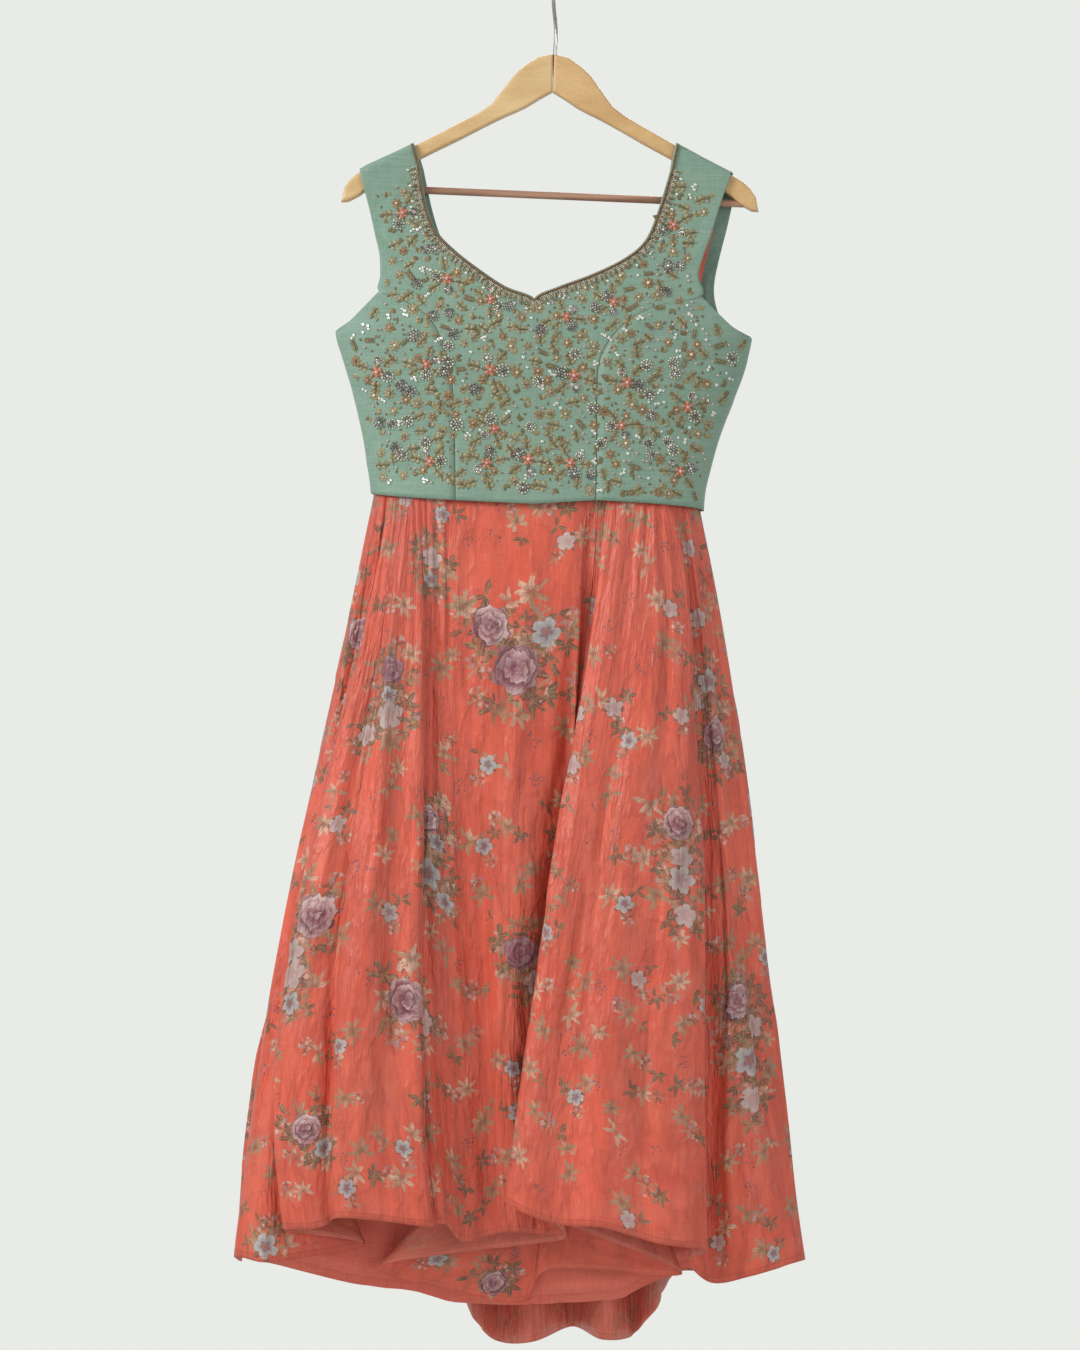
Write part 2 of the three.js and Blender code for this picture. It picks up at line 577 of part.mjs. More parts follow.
function backFoldLines() {
  const [first] = FRONT_FOLDS;
  const last = FRONT_FOLDS[FRONT_FOLDS.length - 1];
  const lines = [last, { ...last, x0: 155.5, x1: 201, x2: 231, x3: 265, y: 22 }];
  BACK_FOLDS.forEach((fold, k) => {
    lines.push(fold);
    const next = BACK_FOLDS[k + 1];
    if (!next) return;
    const half = (name) => 0.5 * (fold[name] + next[name]);
    const [x0, x1, x2, x3, hem] = ['x0', 'x1', 'x2', 'x3', 'hem'].map(half);
    lines.push({ x0, x1, x2, x3, hem, y: fold.hollow });
  });
  lines.push({ ...first, x0: -189, x1: -247, x2: -301, x3: -336, y: 24 }, first);
  return lines;
}

// One curve down a fold line through its four places.
function downFold({ x0, x1, x2, x3 }, s) {
  const [a, b, c] = [s - 1 / 3, s - 2 / 3, s - 1];
  return -4.5 * x0 * a * b * c + 13.5 * x1 * s * b * c - 13.5 * x2 * s * a * c + 4.5 * x3 * s * a * b;
}

function skirtRows(folds, { front, each, rows, inset = 0 }) {
  const depthName = front ? 'front' : 'back';
  const sign = front ? -1 : 1;
  const deepest = Math.max(...folds.map((fold) => Math.abs(fold.y)));
  const columns = [];
  for (let k = 0; k <= (folds.length - 1) * each; k += 1) {
    const at = (name) => throughRows(folds, name, k / each);
    const [x0, x1, x2, x3, y, hem] = ['x0', 'x1', 'x2', 'x3', 'y', 'hem'].map(at);
    const end = k === 0 || k === (folds.length - 1) * each;
    columns.push({ x0, x1, x2, x3, y, hem, end });
  }
  const place = (column, s) => {
    const seat = readTable(TOP_HEM, 'x', column.x0, 'z') - SEAT;
    const pleat = PLEAT * (deepest - Math.abs(column.y));
    const above = s < 0;
    const section = above ? WAIST_OVAL : SEAT_OVAL;
    const x = above
      ? middleOf(section) + (column.x0 - middleOf(SEAT_OVAL)) * 0.967
      : downFold(column, s);
    const near = Math.max(0, standAt(section, above ? x : column.x0, section[depthName]) - pleat);
    const off = above ? near : lerp(near, Math.abs(column.y), s ** OPENING);
    const y = column.end ? 0.5 * GAP : Math.max(off, 0.5 * GAP);
    return new THREE.Vector3(x, sign * y, above ? WAIST - GAP : lerp(seat, column.hem, s));
  };
  const heights = [-1, ...Array.from({ length: rows + 1 }, (_, k) => (k / rows) ** 1.15)];
  return heights.reverse().map((s) => {
    const line = columns.map((column) => place(column, s));
    return line.map((p, i) => {
      const along = line[Math.min(i + 1, line.length - 1)].clone().sub(line[Math.max(i - 1, 0)]);
      const level = columns[i].end ? 0 : -along.x; // the side seams look straight out
      const out = new THREE.Vector3(along.y, level, 0).normalize();
      return [p.clone().addScaledVector(out, -inset), out];
    });
  });
}

// A closed band or tube through oval rings, listed upwards.
function tube(rings, columns) {
  const rows = rings.map(({ left, right, front, back, z }) => {
    const middle = 0.5 * (back - front);
    const half = 0.5 * (front + back);
    return Array.from({ length: columns + 1 }, (_, k) => {
      const turn = Math.PI - (2 * Math.PI * (k % columns)) / columns;
      const across = Math.cos(turn);
      const x = lerp(left, right, 0.5 * (1 + across));
      const y = middle - Math.sign(Math.sin(turn)) * half * oval(across);
      const out = new THREE.Vector3(across / (right - left), -Math.sin(turn) / (2 * half), 0);
      const height = typeof z === 'function' ? z(x, turn > 0) : z;
      return [new THREE.Vector3(x, y, height), out.normalize()];
    });
  });
  return new Sheet().grid(rows);
}

// The lining hangs nearly flat between front and back; its hem follows this line.
const LINING_HEM = [
  { x: -333, z: -1365 }, { x: -278, z: -1380 }, { x: -208, z: -1397 }, { x: -145, z: -1404 },
  { x: -110, z: -1416 }, { x: -35, z: -1419 }, { x: 72, z: -1413 }, { x: 98, z: -1398 },
  { x: 146, z: -1379 }, { x: 259, z: -1365 },
];
const LINING_RINGS = [
  { s: 0, left: -186, right: 152.5, front: 30, back: 27 },
  { s: 1 / 3, left: -238, right: 192, front: 16, back: 22 },
  { s: 2 / 3, left: -288, right: 221, front: 6, back: 18 },
  { s: 1, left: -320, right: 252, front: -1, back: 15 },
];

function buildSkirt() {
  const front = skirtRows(FRONT_FOLDS, { front: true, each: 2, rows: 9 });
  add('skirt_front', new Sheet().grid(front).wall(SKIRT_WALL), 0xe2624c, 0.6);
  const back = skirtRows(backFoldLines(), { front: false, each: 3, rows: 8 });
  add('skirt_back', new Sheet().grid(back).wall(SKIRT_WALL), 0xe2624c, 0.6);

  const rings = [];
  for (let k = 7; k >= 0; k -= 1) {
    const s = k / 7;
    const size = (name) => readTable(LINING_RINGS, 's', s, name);
    const z = (x, isFront) => lerp(
      readTable(TOP_HEM, 'x', x, 'z') - SEAT,
      readTable(LINING_HEM, 'x', x, 'z') + (isFront ? 12 : 0), s);
    rings.push({ left: size('left'), right: size('right'), front: size('front'),
      back: size('back'), z });
  }
  rings.push({ left: -182, right: 148, front: 28, back: 26, z: WAIST - 6 });
  add('skirt_lining', tube(rings, 44).wall(LINING), 0xd96a50, 0.7);

  const band = { ...WAIST_OVAL };
  const bandRings = [{ ...band, z: WAIST }, { ...band, z: WAIST + BAND_HEIGHT }];
  add('waistband', tube(bandRings, 44).wall(BAND_WALL), 0xd96a50, 0.6);
}

// A ribbon from inside the front of the waistband, over the arm and down to the back.
function buildLoop(name, armX, bandX) {
  const half = 4;
  const wall = 1.0;
  const reach = ARM_ROUND + GAP + wall + 0.15; // the arm slopes under the ribbon
  const flat = ARM_DEPTH / 2 - ARM_ROUND;
  const slope = (armTop(armX + half) - armTop(armX - half)) / (2 * half);
  const top = armTop(armX) - ARM_ROUND;
  const outer = bandX + half * Math.sign(bandX);
  const inside = (depth) => standAt(WAIST_OVAL, outer, depth) - BAND_WALL - GAP - 0.3;
  const path = [];
  const step = (x, y, z, out) => path.push({ x, y, z, out });
  const level = (sign) => new THREE.Vector3(0, sign, 0);
  step(bandX, -inside(WAIST_OVAL.front), WAIST + 8, level(-1));
  step(bandX, -inside(WAIST_OVAL.front), WAIST + 24, level(-1));
  const under = ROD_RADIUS + GAP + wall + 0.3; // the tails close in under the arm, past the rod
  const lowX = lerp(armX, bandX, 0.45);
  step(lowX, -under, -330, level(-1));
  step(lerp(armX, bandX, 0.1), -under, top - 34, level(-1));
  step(armX, -(flat + reach), top - 17, level(-1));
  for (let tip = 0; tip <= 180; tip += 30) {
    const a = THREE.MathUtils.degToRad(tip);
    const out = new THREE.Vector3(0, -Math.cos(a), Math.sin(a));
    const y = -Math.cos(a) * reach - (tip < 90 ? flat : -flat);
    if (tip === 90) step(armX, -flat, top + reach, out);
    step(armX, y, top + Math.sin(a) * reach, out);
  }
  step(armX, flat + reach, top - 17, level(1));
  step(lerp(armX, bandX, 0.1), under, top - 34, level(1));
  step(lowX, under, -330, level(1));
  step(bandX, inside(WAIST_OVAL.back), WAIST + 24, level(1));
  step(bandX, inside(WAIST_OVAL.back), WAIST + 8, level(1));
  const rows = path.map(({ x, y, z, out }) => [-half, half].map(
    (side) => [new THREE.Vector3(x + side, y, z + (x === armX ? slope * side : 0)), out]));
  add(name, new Sheet().grid(rows).wall(wall), 0xd96a50, 0.6);
}

buildHanger();
buildTop();
buildBackLining();
buildPiping();
buildSkirt();
buildLoop('loop_left', -163, -150);
buildLoop('loop_right', 149, 122);

export default group;
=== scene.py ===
# %% [markdown]
# # A lehenga set on a wooden hanger
# A sleeveless silk top hangs over a long gathered skirt in printed silk. This lesson dresses the
# plain solids of the set: every cloth gets a thin shell with soft creases, a finish made of
# nodes, and the top gets its sewn beads. The solids give the size and the place of everything.

# %% Load the frame
from math import cos, pi, radians, sin, tau

import bmesh
import bpy
import numpy as np
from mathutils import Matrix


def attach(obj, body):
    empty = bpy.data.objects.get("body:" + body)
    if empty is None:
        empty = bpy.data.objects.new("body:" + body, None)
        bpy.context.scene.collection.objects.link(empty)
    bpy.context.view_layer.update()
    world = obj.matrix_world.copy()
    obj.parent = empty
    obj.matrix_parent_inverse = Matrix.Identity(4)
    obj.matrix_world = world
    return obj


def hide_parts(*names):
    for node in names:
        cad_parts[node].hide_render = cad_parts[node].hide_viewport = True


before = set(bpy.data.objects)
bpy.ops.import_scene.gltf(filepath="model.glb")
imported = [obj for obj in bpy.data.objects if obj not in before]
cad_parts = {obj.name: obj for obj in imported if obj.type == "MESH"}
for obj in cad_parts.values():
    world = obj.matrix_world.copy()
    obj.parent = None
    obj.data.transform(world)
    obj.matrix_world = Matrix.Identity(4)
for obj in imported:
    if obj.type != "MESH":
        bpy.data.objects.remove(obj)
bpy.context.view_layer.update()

MM = 0.001

# %% [markdown]
# ## Camera, floor and light
# The set is seen level and square on from four metres away, so that upright edges stay upright.
# The room is a pale haze with one big soft light from the left and a weaker one from the right,
# as in a plain studio. A pale floor lies well below the hem.

# %% Camera
camera_data = bpy.data.cameras.new("camera")
camera_data.sensor_fit = "VERTICAL"
camera_data.sensor_height = 24
camera_data.lens = 66.76  # sees 1.44 m from top to bottom at the hanger
camera = bpy.data.objects.new("camera", camera_data)
camera.location = (-0.0138, -4.0, -0.7453)
camera.rotation_euler = (pi / 2, 0, 0)
bpy.context.scene.collection.objects.link(camera)
bpy.context.scene.camera = camera
bpy.context.scene.view_settings.view_transform = "Standard"
CAMERA_AT = np.array(camera.location) / MM
print("camera at", list(camera.location))


# %% [markdown]
# ## Node sums
# A finish is written as sums on sockets. The class below holds one socket, and adding or
# multiplying it adds a Math node, so that a mask reads like the formula on paper.

# %% A socket that can be reckoned with
class Socket:
    """One output of a node. Sums, products and comparisons of sockets add Math nodes."""

    def __init__(self, finish, output):
        self.finish, self.output = finish, output

    def math(self, operation, *others):
        values = {f"_{k}": value for k, value in enumerate((self, *others))}
        return self.finish.add("Math", settings={"operation": operation}, **values)

    def __add__(self, other):
        return self.math("ADD", other)

    def __sub__(self, other):
        return self.math("SUBTRACT", other)

    def __mul__(self, other):
        return self.math("MULTIPLY", other)

    def __truediv__(self, other):
        return self.math("DIVIDE", other)

    def __pow__(self, other):
        return self.math("POWER", other)

    def __neg__(self):
        return self * -1

    def __rsub__(self, other):
        return -self + other

    __radd__, __rmul__ = __add__, __mul__

    def __gt__(self, other):
        return self.math("GREATER_THAN", other)

    def __abs__(self):
        return self.math("ABSOLUTE")

    def also(self, pick):
        """Another output of the same node."""
        return Socket(self.finish, self.output.node.outputs[pick])

    def ramp(self, low, high):
        """0 below low, 1 above high and a soft step between, either way round."""
        return self.finish.add(
            "MapRange", settings={"interpolation_type": "SMOOTHSTEP"},
            Value=self, From_Min=low, From_Max=high)


class Finish:
    """A material, or a world, and its nodes."""

    def __init__(self, name, owner=None):
        self.owner = owner or bpy.data.materials.new(name)
        self.owner.use_nodes = True
        self.tree = self.owner.node_tree
        self.tree.nodes.clear()

    def add(self, kind, pick=0, settings=None, **values):
        """Adds a node: its settings first, then the values or links of its sockets."""
        node = self.tree.nodes.new("ShaderNode" + kind)
        for key, value in (settings or {}).items():
            if key == "stops":
                while len(node.color_ramp.elements) < len(value):
                    node.color_ramp.elements.new(1)
                for element, (place, tint) in zip(node.color_ramp.elements, value):
                    element.position, element.color = place, paint(*tint)
            else:
                setattr(node, key, value)
        for key, value in values.items():
            name = key.replace("_", " ")
            socket = node.inputs[int(key[1:]) if key.startswith("_") else name]
            if isinstance(value, Socket):
                self.tree.links.new(value.output, socket)
            else:
                socket.default_value = value
        return Socket(self, node.outputs[pick]) if node.outputs else None

    def blend(self, share, first, second):
        """Mixes two colours; share 0 gives the first."""
        return self.add("Mix", pick=2, settings={"data_type": "RGBA"},
                        _0=share, _6=first, _7=second)

    def tints(self, value, *stops):
        return self.add("ValToRGB", settings={"stops": stops}, Fac=value)

    def noise(self, place, scale, detail=2.0, roughness=0.5):
        return self.add("TexNoise", Vector=place, Scale=scale, Detail=detail,
                        Roughness=roughness)

    def stretch(self, place, scale):
        return self.add("Mapping", Vector=place, Scale=scale)

    def object_place(self):
        return self.add("TexCoord", pick="Object")

    def coat(self, colour, **values):
        """Ends the finish with one shader and gives its material."""
        shader = self.add("BsdfPrincipled", Base_Color=colour, **values)
        self.add("OutputMaterial", Surface=shader)
        print("finish", self.owner.name, "has", len(self.tree.nodes), "nodes")
        return self.owner

    def bump(self, height, depth, strength=1.0, under=None):
        values = {} if under is None else {"Normal": under}
        return self.add("Bump", Height=height, Distance=depth, Strength=strength, **values)


def paint(red, green, blue):
    """A colour from its three everyday values, 0 to 255."""
    parts = (np.array([red, green, blue]) / 255.0).tolist()
    return (*(v / 12.92 if v < 0.04045 else ((v + 0.055) / 1.055) ** 2.4 for v in parts), 1.0)


# %% Floor and light
PALE = (233, 235, 231)
floor_mesh = bpy.data.meshes.new("floor")
round_floor = bmesh.new()
bmesh.ops.create_circle(round_floor, cap_ends=True, segments=96, radius=1.2)
round_floor.to_mesh(floor_mesh)
round_floor.free()
floor = bpy.data.objects.new("floor", floor_mesh)
floor.location = (-0.02, 0.1, -1.75)
bpy.context.scene.collection.objects.link(floor)
floor_finish = Finish("pale floor")
floor_mesh.materials.append(floor_finish.coat(floor_finish.blend(
    floor_finish.noise(floor_finish.object_place(), 6.0), paint(*PALE), paint(226, 228, 224)),
    Roughness=0.9))

world = bpy.data.worlds.new("haze")
bpy.context.scene.world = world
haze = Finish("haze", world)
haze.add("OutputWorld", Surface=haze.add(
    "MixShader", _0=haze.add("LightPath", pick="Is Camera Ray"),
    _1=haze.add("Background", Color=(1, 1, 1, 1), Strength=0.46),
    _2=haze.add("Background", Color=paint(*PALE), Strength=1.0)))


def soft_light(name, place, aim, width, power):
    """A square lamp at place that faces aim, in metres and watts."""
    lamp = bpy.data.lights.new(name, "AREA")
    lamp.shape, lamp.size, lamp.energy = "SQUARE", width, power
    holder = bpy.data.objects.new(name, lamp)
    holder.location = place
    toward = np.array(aim) - np.array(place)
    holder.rotation_euler = (
        float(np.arctan2(np.hypot(toward[0], toward[1]), -toward[2])), 0,
        float(np.arctan2(toward[1], toward[0]) - pi / 2))
    bpy.context.scene.collection.objects.link(holder)


MIDDLE = (-0.02, 0, -0.75)
soft_light("left light", (-3.0, -1.9, 1.0), MIDDLE, width=1.5, power=98)
soft_light("right light", (2.6, -3.0, 0.2), MIDDLE, width=2.2, power=32)
soft_light("back light", (0.4, 3.2, 1.0), MIDDLE, width=2.0, power=40)
print("lights:", [light.name for light in bpy.data.lights])

# %% [markdown]
# ## The shapes of the cloth
# The shells repeat the rules of the solids: short tables of named places, joined by smooth
# curves, and then sampled much more finely. Lengths are millimetres until a mesh is made.

# %% Sizes and curves
GAP = 0.3  # between two edges that are sewn together
SILK = 1.8  # wall of the top
BAND_WALL = 2.0  # wall of the waistband
ARM_DEPTH = 14  # the hanger's arms, front to back
ARM_ROUND = 3  # how round the arms' edges are
ARM_TILT = radians(-1.35)  # the hanger hangs lower on the right
TILT_AT = -106  # height of the point that the hanger tilts about
STRAP_RISE = 2.2  # room between the wood and the straps
WAIST = -482  # lower edge of the waistband
BAND_HEIGHT = 30
SEAT = 3  # how far below the top's hem the skirt starts to go in
THIN = 0.7  # the cloth as it is seen


def table(names, *rows):
    """Rows of numbers under named columns."""
    return dict(zip(names.split(), np.array(rows, float).T))


def mix(a, b, share):
    return a + (b - a) * share


def unit(ways):
    """Each way at a length of one."""
    return ways / np.maximum(np.linalg.norm(ways, axis=-1, keepdims=True), 1e-9)


def soft_step(low, high, value):
    share = np.clip((value - low) / (high - low), 0, 1)
    return share * share * (3 - 2 * share)


def through(values, t):
    """A smooth curve through a column of values; t counts its rows."""
    last = len(values) - 1
    i = np.minimum(last - 1, np.floor(t).astype(int))
    f = t - i
    a, b, c, d = (values[np.clip(i + k, 0, last)] for k in (-1, 0, 1, 2))
    curve = b + 0.5 * f * (c - a + f * (2 * a - 5 * b + 4 * c - d + f * (3 * (b - c) + d - a)))
    return np.where(b == c, b, curve)


def soften(rows, key, step, reach, spare=15):
    """The same table with its corners rounded off, carried on a little past both ends."""
    places = np.arange(rows[key][0] - spare, rows[key][-1] + spare, step)
    window = np.ones(2 * reach + 1) / (2 * reach + 1)
    fine = {key: places}
    for name in rows.keys() - {key}:
        values = np.pad(np.interp(places, rows[key], rows[name]), reach, mode="edge")
        fine[name] = np.convolve(values, window, "valid")
    return fine


# %% [markdown]
# ## The body of the top
# Level sections of the top are flattened ovals. Each has a left and a right end and a depth in
# front and behind; towards the shoulders they close in on the hanger's arms.

# %% Sections of the top
BODY = soften(table(
    "z left right front back",
    (-575, -193.5, 160.5, 47, 48),
    (-551, -194, 162, 46, 47),
    (-533, -196, 166, 44, 46),
    (-494, -202, 177, 42, 44),
    (-449, -212, 194, 44, 42),
    (-421, -220, 205, 47, 41),
    (-385, -232, 213, 46, 40),
    (-330, -232, 213, 38, 36),
    (-170, -228, 210, 30, 30),
), "z", 2.0, 5)
FULLNESS = 2.4  # of the oval; 2 would be an ellipse
SIDE_CLOSING = 0.015  # panels that end this near a side seam, in half widths, reach it
CLOSING_POWER = 40  # keeps the closing beside the seams
STRAP_SIDE = ARM_DEPTH / 2 + STRAP_RISE + SILK
FLAT_FROM, FLAT_AT = -350, -232


def oval(across):
    return (1 - np.abs(across) ** FULLNESS) ** (1 / FULLNESS)


def body(turn, z):
    """The outside of the top; turn 0 is its right end and a quarter turn the front."""
    left, right, front, back = (
        np.interp(z, BODY["z"], BODY[name]) for name in ("left", "right", "front", "back"))
    across = np.cos(turn)
    depth = np.where(turn > 0, front, back)
    off = mix(depth * oval(across), STRAP_SIDE, soft_step(FLAT_FROM, FLAT_AT, z))
    x = mix(left, right, 0.5 * (1 + across))
    y = -np.sign(np.sin(turn)) * (off + 0.5 * GAP)
    return np.stack([x, y, z + 0 * x], -1)


def turn_at(x, z, front):
    """The turn at which the body is x wide at a height, in front or behind."""
    left, right = (np.interp(z, BODY["z"], BODY[name]) for name in ("left", "right"))
    nearly = 1 - 1e-7
    across = 2 * (x - left) / (right - left) - 1
    closed = across * (1 + SIDE_CLOSING * across ** CLOSING_POWER)
    turn = np.arccos(np.clip(closed, -nearly, nearly))
    return turn if front else -turn


# %% The hanger's arms under the straps
ARM = table(
    "out top", (0, -85), (15, -88), (29, -97.5), (39, -107), (50, -122), (62, -138),
    (77, -149), (97, -160), (130, -178), (165, -196), (195, -210.5), (204, -216), (211, -222.5),
    (216, -229.5), (222, -241))


def arm_top(x):
    """The top edge of the wood, which hangs a little lower on the right."""
    sign = np.sign(np.mean(x))
    along, up = sign * ARM["out"], ARM["top"] - TILT_AT
    edge = np.abs(along * cos(ARM_TILT) - up * sin(ARM_TILT))
    height = TILT_AT + along * sin(ARM_TILT) + up * cos(ARM_TILT)
    return np.interp(np.abs(x), edge, height)


def strap_row(x, tip, below, front, ridge=False):
    """A row of the strap as it tips over the arm; tip in degrees."""
    sign = -1 if front else 1
    reach = ARM_ROUND + STRAP_RISE + SILK
    y = 0 if ridge else ARM_DEPTH / 2 - ARM_ROUND + reach * cos(radians(tip))
    z = arm_top(x) - ARM_ROUND + reach * sin(radians(tip)) - below
    return np.stack([x, sign * (y + 0.5 * GAP) + 0 * x, z], -1)


OVER_ARM = [(0, 6), (0, 2), (12, 0), (25, 0), (38, 0), (51, 0), (64, 0), (77, 0), (90, 0)]


def lean(tip, below):
    """How far a row has come from the strap's width to the shoulder line."""
    return 0.65 + 0.35 * tip / 90 - 0.034 * below


def panel(lines, front, columns, each, strap=None, shift=(0, 0), rows=None):
    """A panel of the top from its cross lines; strap is the outer and inner end of its
    shoulder line."""
    rows = rows or len(lines["outer_x"])
    t = np.linspace(0, rows - 1, (rows - 1) * each + 1)
    outer_x, outer_z, inner_x, inner_z = (
        through(lines[name], t)[:, None]
        for name in ("outer_x", "outer_z", "inner_x", "inner_z"))
    share = np.linspace(0, 1, columns + 1)[None]
    a = turn_at(outer_x + shift[0], outer_z, front)
    b = turn_at(inner_x + shift[1], inner_z, front)
    sheet = body(mix(a, b, share), mix(outer_z, inner_z, share))
    if strap:
        last = (lines["outer_x"][-1] + shift[0], lines["inner_x"][-1] + shift[1])
        over = []
        for tip, below in [*OVER_ARM, (90, 0)]:
            outer, inner = (mix(a, b, lean(tip, below)) for a, b in zip(last, strap))
            over.append(strap_row(mix(outer, inner, share[0]), tip, below, front,
                                  ridge=len(over) == len(OVER_ARM)))
        sheet = np.concatenate([sheet, np.array(over)])
    return sheet


# %% [markdown]
# ## How the top is cut
# The front has a middle panel up to the straps and a small panel at each side, joined by
# princess seams. The back is one panel. Each table lists the places of a panel's cross lines.

# %% Cutting lines of the top
LINES = "outer_x outer_z inner_x inner_z"
FRONT_LEFT = table(
    LINES, (-103, -561, -20, -565), (-104, -498, -20, -500), (-106, -445, -20, -445),
    (-112, -408, -20, -405), (-128, -372, -20, -372), (-155, -351, -20, -348),
    (-184, -340, -50, -335), (-183, -322, -78, -316), (-184, -300, -104, -295),
    (-189, -278, -124, -273), (-195, -251, -134, -246), (-202, -224, -141, -204))
FRONT_RIGHT = table(
    LINES, (45, -561, -20, -565), (46, -498, -20, -500), (46, -448, -20, -445),
    (51, -408, -20, -405), (76, -374, -20, -372), (110, -356, -20, -348),
    (157, -345, 6, -335), (154, -323, 40, -322), (159, -303, 74, -305),
    (167, -281, 97, -285), (176, -251, 111, -253), (184, -228, 125, -207))
SIDE_LEFT = table(
    "x z", (-194, -551), (-200, -498), (-213, -447), (-223, -413), (-232, -385),
    (-212, -367), (-187, -342))
SIDE_RIGHT = table(
    "x z", (161.5, -571), (176, -498), (193, -450), (205, -420), (213, -392), (188, -375),
    (160, -348))
BACK_RIGHT = table(
    LINES, (161.5, -571, -20, -566), (176, -498, -20, -498), (193, -450, -20, -450),
    (205, -420, -20, -415), (213, -392, -20, -385), (195, -378, -20, -361),
    (181, -365, 24, -347), (174, -346, 57, -327), (173, -326, 84, -304),
    (178, -300, 103, -278), (186, -268, 114, -248), (193, -236, 124, -212))
BACK_LEFT = table(
    LINES, (-194, -551, -20, -566), (-200, -498, -20, -498), (-213, -447, -20, -450),
    (-223, -413, -20, -415), (-232, -385, -20, -385), (-214, -371, -20, -361),
    (-194, -352, -62, -347), (-180, -330, -92, -320), (-177, -305, -109, -298),
    (-181, -278, -121, -274), (-188, -251, -130, -244), (-197, -226, -138, -206))
SEAM_ROWS = len(SIDE_LEFT["x"])
NECK_FROM = 5  # cross line at the middle of the neck
ARMHOLE_FROM = 4  # first cross line of the back at the armhole
SHOULDER_LEFT, SHOULDER_RIGHT, BACK_SHOULDER_RIGHT = (-206, -149), (191, 132), (192, 132)


def side_lines(side, front):
    """Cross lines of a side panel, whose inner edge is the front's princess seam."""
    rows = np.arange(SEAM_ROWS + 1)
    own = np.minimum(rows, SEAM_ROWS - 1)
    return {"outer_x": side["x"][own], "outer_z": side["z"][own],
            "inner_x": front["outer_x"][rows], "inner_z": front["outer_z"][rows]}


def front_lines(lines, sign):
    seam = np.arange(len(lines["outer_x"])) < SEAM_ROWS
    return {**lines, "outer_x": lines["outer_x"] + seam * sign * GAP}


# %% [markdown]
# ## Creases
# Silk on a hanger shows soft pulls: below the straps, towards the bust and beside the seams.
# Each is a straight line on the cloth with its own width and depth; a negative depth is a
# trough. The cloth moves along its own way out, so a crease never changes the outline much.

# %% Way out of a sheet and its creases
def way_out(sheet):
    """Unit vectors square to a sheet whose rows run up and to the right, seen from outside."""
    return unit(np.cross(np.gradient(sheet, axis=1), np.gradient(sheet, axis=0)))


def level_way_out(sheet):
    """The same for a sheet that hangs, kept level."""
    return unit(np.cross(np.gradient(sheet, axis=1), (0, 0, 1.0)))


CREASES = "x0 z0 x1 z1 width depth"
FRONT_CREASES = table(
    CREASES,
    (-196, -262, -150, -318, 5, -0.9), (-180, -250, -156, -300, 4, 0.7),
    (-186, -338, -128, -386, 6, 1.1), (-176, -350, -112, -402, 5, -1.0),
    (-222, -396, -150, -420, 7, -0.8), (-214, -424, -140, -446, 8, 0.9),
    (-206, -470, -150, -478, 7, -0.7), (-198, -520, -140, -506, 9, 0.8),
    (-120, -360, -70, -410, 9, 0.9), (-60, -352, -40, -420, 8, -0.7),
    (-30, -340, -34, -400, 5, -0.8), (-8, -342, 6, -410, 6, 0.8),
    (160, -262, 128, -316, 5, -0.9), (170, -272, 138, -322, 4, 0.8),
    (150, -345, 96, -388, 6, 1.1), (140, -360, 82, -402, 5, -1.0),
    (200, -402, 130, -424, 7, -0.8), (190, -436, 120, -452, 8, 0.9),
    (178, -484, 120, -490, 7, -0.7), (166, -530, 110, -516, 9, 0.8),
    (96, -364, 50, -420, 9, 0.9), (30, -350, 20, -420, 8, -0.7),
    (-90, -470, -94, -548, 10, 0.9), (-60, -490, -64, -560, 8, -0.7),
    (-20, -480, -16, -560, 11, 0.8), (18, -486, 24, -556, 9, -0.7),
    (80, -470, 88, -558, 10, 0.9), (126, -500, 132, -560, 8, -0.7),
    (-150, -488, -156, -552, 9, -0.8), (-170, -236, -176, -290, 6, 0.7))
BACK_CREASES = table(
    CREASES,
    (-190, -252, -150, -310, 5, -0.9), (-188, -350, -120, -396, 7, 1.0),
    (-216, -400, -140, -424, 7, -0.9), (-206, -450, -120, -462, 8, 0.9),
    (-196, -512, -130, -504, 9, -0.8), (-100, -372, -60, -440, 9, 0.8),
    (-30, -360, -26, -450, 8, -0.7), (20, -362, 16, -440, 9, 0.7),
    (184, -262, 138, -316, 5, -0.9), (176, -364, 110, -402, 7, 1.0),
    (200, -410, 126, -430, 7, -0.9), (190, -458, 110, -468, 8, 0.9),
    (176, -520, 110, -508, 9, -0.8), (-80, -480, -84, -556, 10, 0.9),
    (0, -488, 4, -560, 10, -0.8), (70, -484, 76, -556, 9, 0.9))


def crease_height(x, z, creases):
    """How far the cloth stands out at a place seen from the front or the back."""
    height = 0 * x
    for x0, z0, x1, z1, width, depth in zip(*(creases[name] for name in CREASES.split())):
        run = np.hypot(x1 - x0, z1 - z0)
        dx, dz = (x1 - x0) / run, (z1 - z0) / run
        along = ((x - x0) * dx + (z - z0) * dz) / run
        aside = (x - x0) * dz - (z - z0) * dx
        fade = soft_step(-0.25, 0.25, along) * soft_step(1.25, 0.7, along)
        height = height + depth * fade * np.exp(-(aside / width) ** 2)
    return height


def creased(sheet, creases):
    """Moves a sheet out by its creases."""
    height = crease_height(sheet[..., 0], sheet[..., 2], creases)
    return sheet + way_out(sheet) * height[..., None]


# %% [markdown]
# ## From sheet to shell
# A sheet is a grid of places. It becomes a mesh of four-sided faces, and a Solidify modifier
# gives it its thickness inwards. The modifier is applied, so the mesh is the cloth itself.


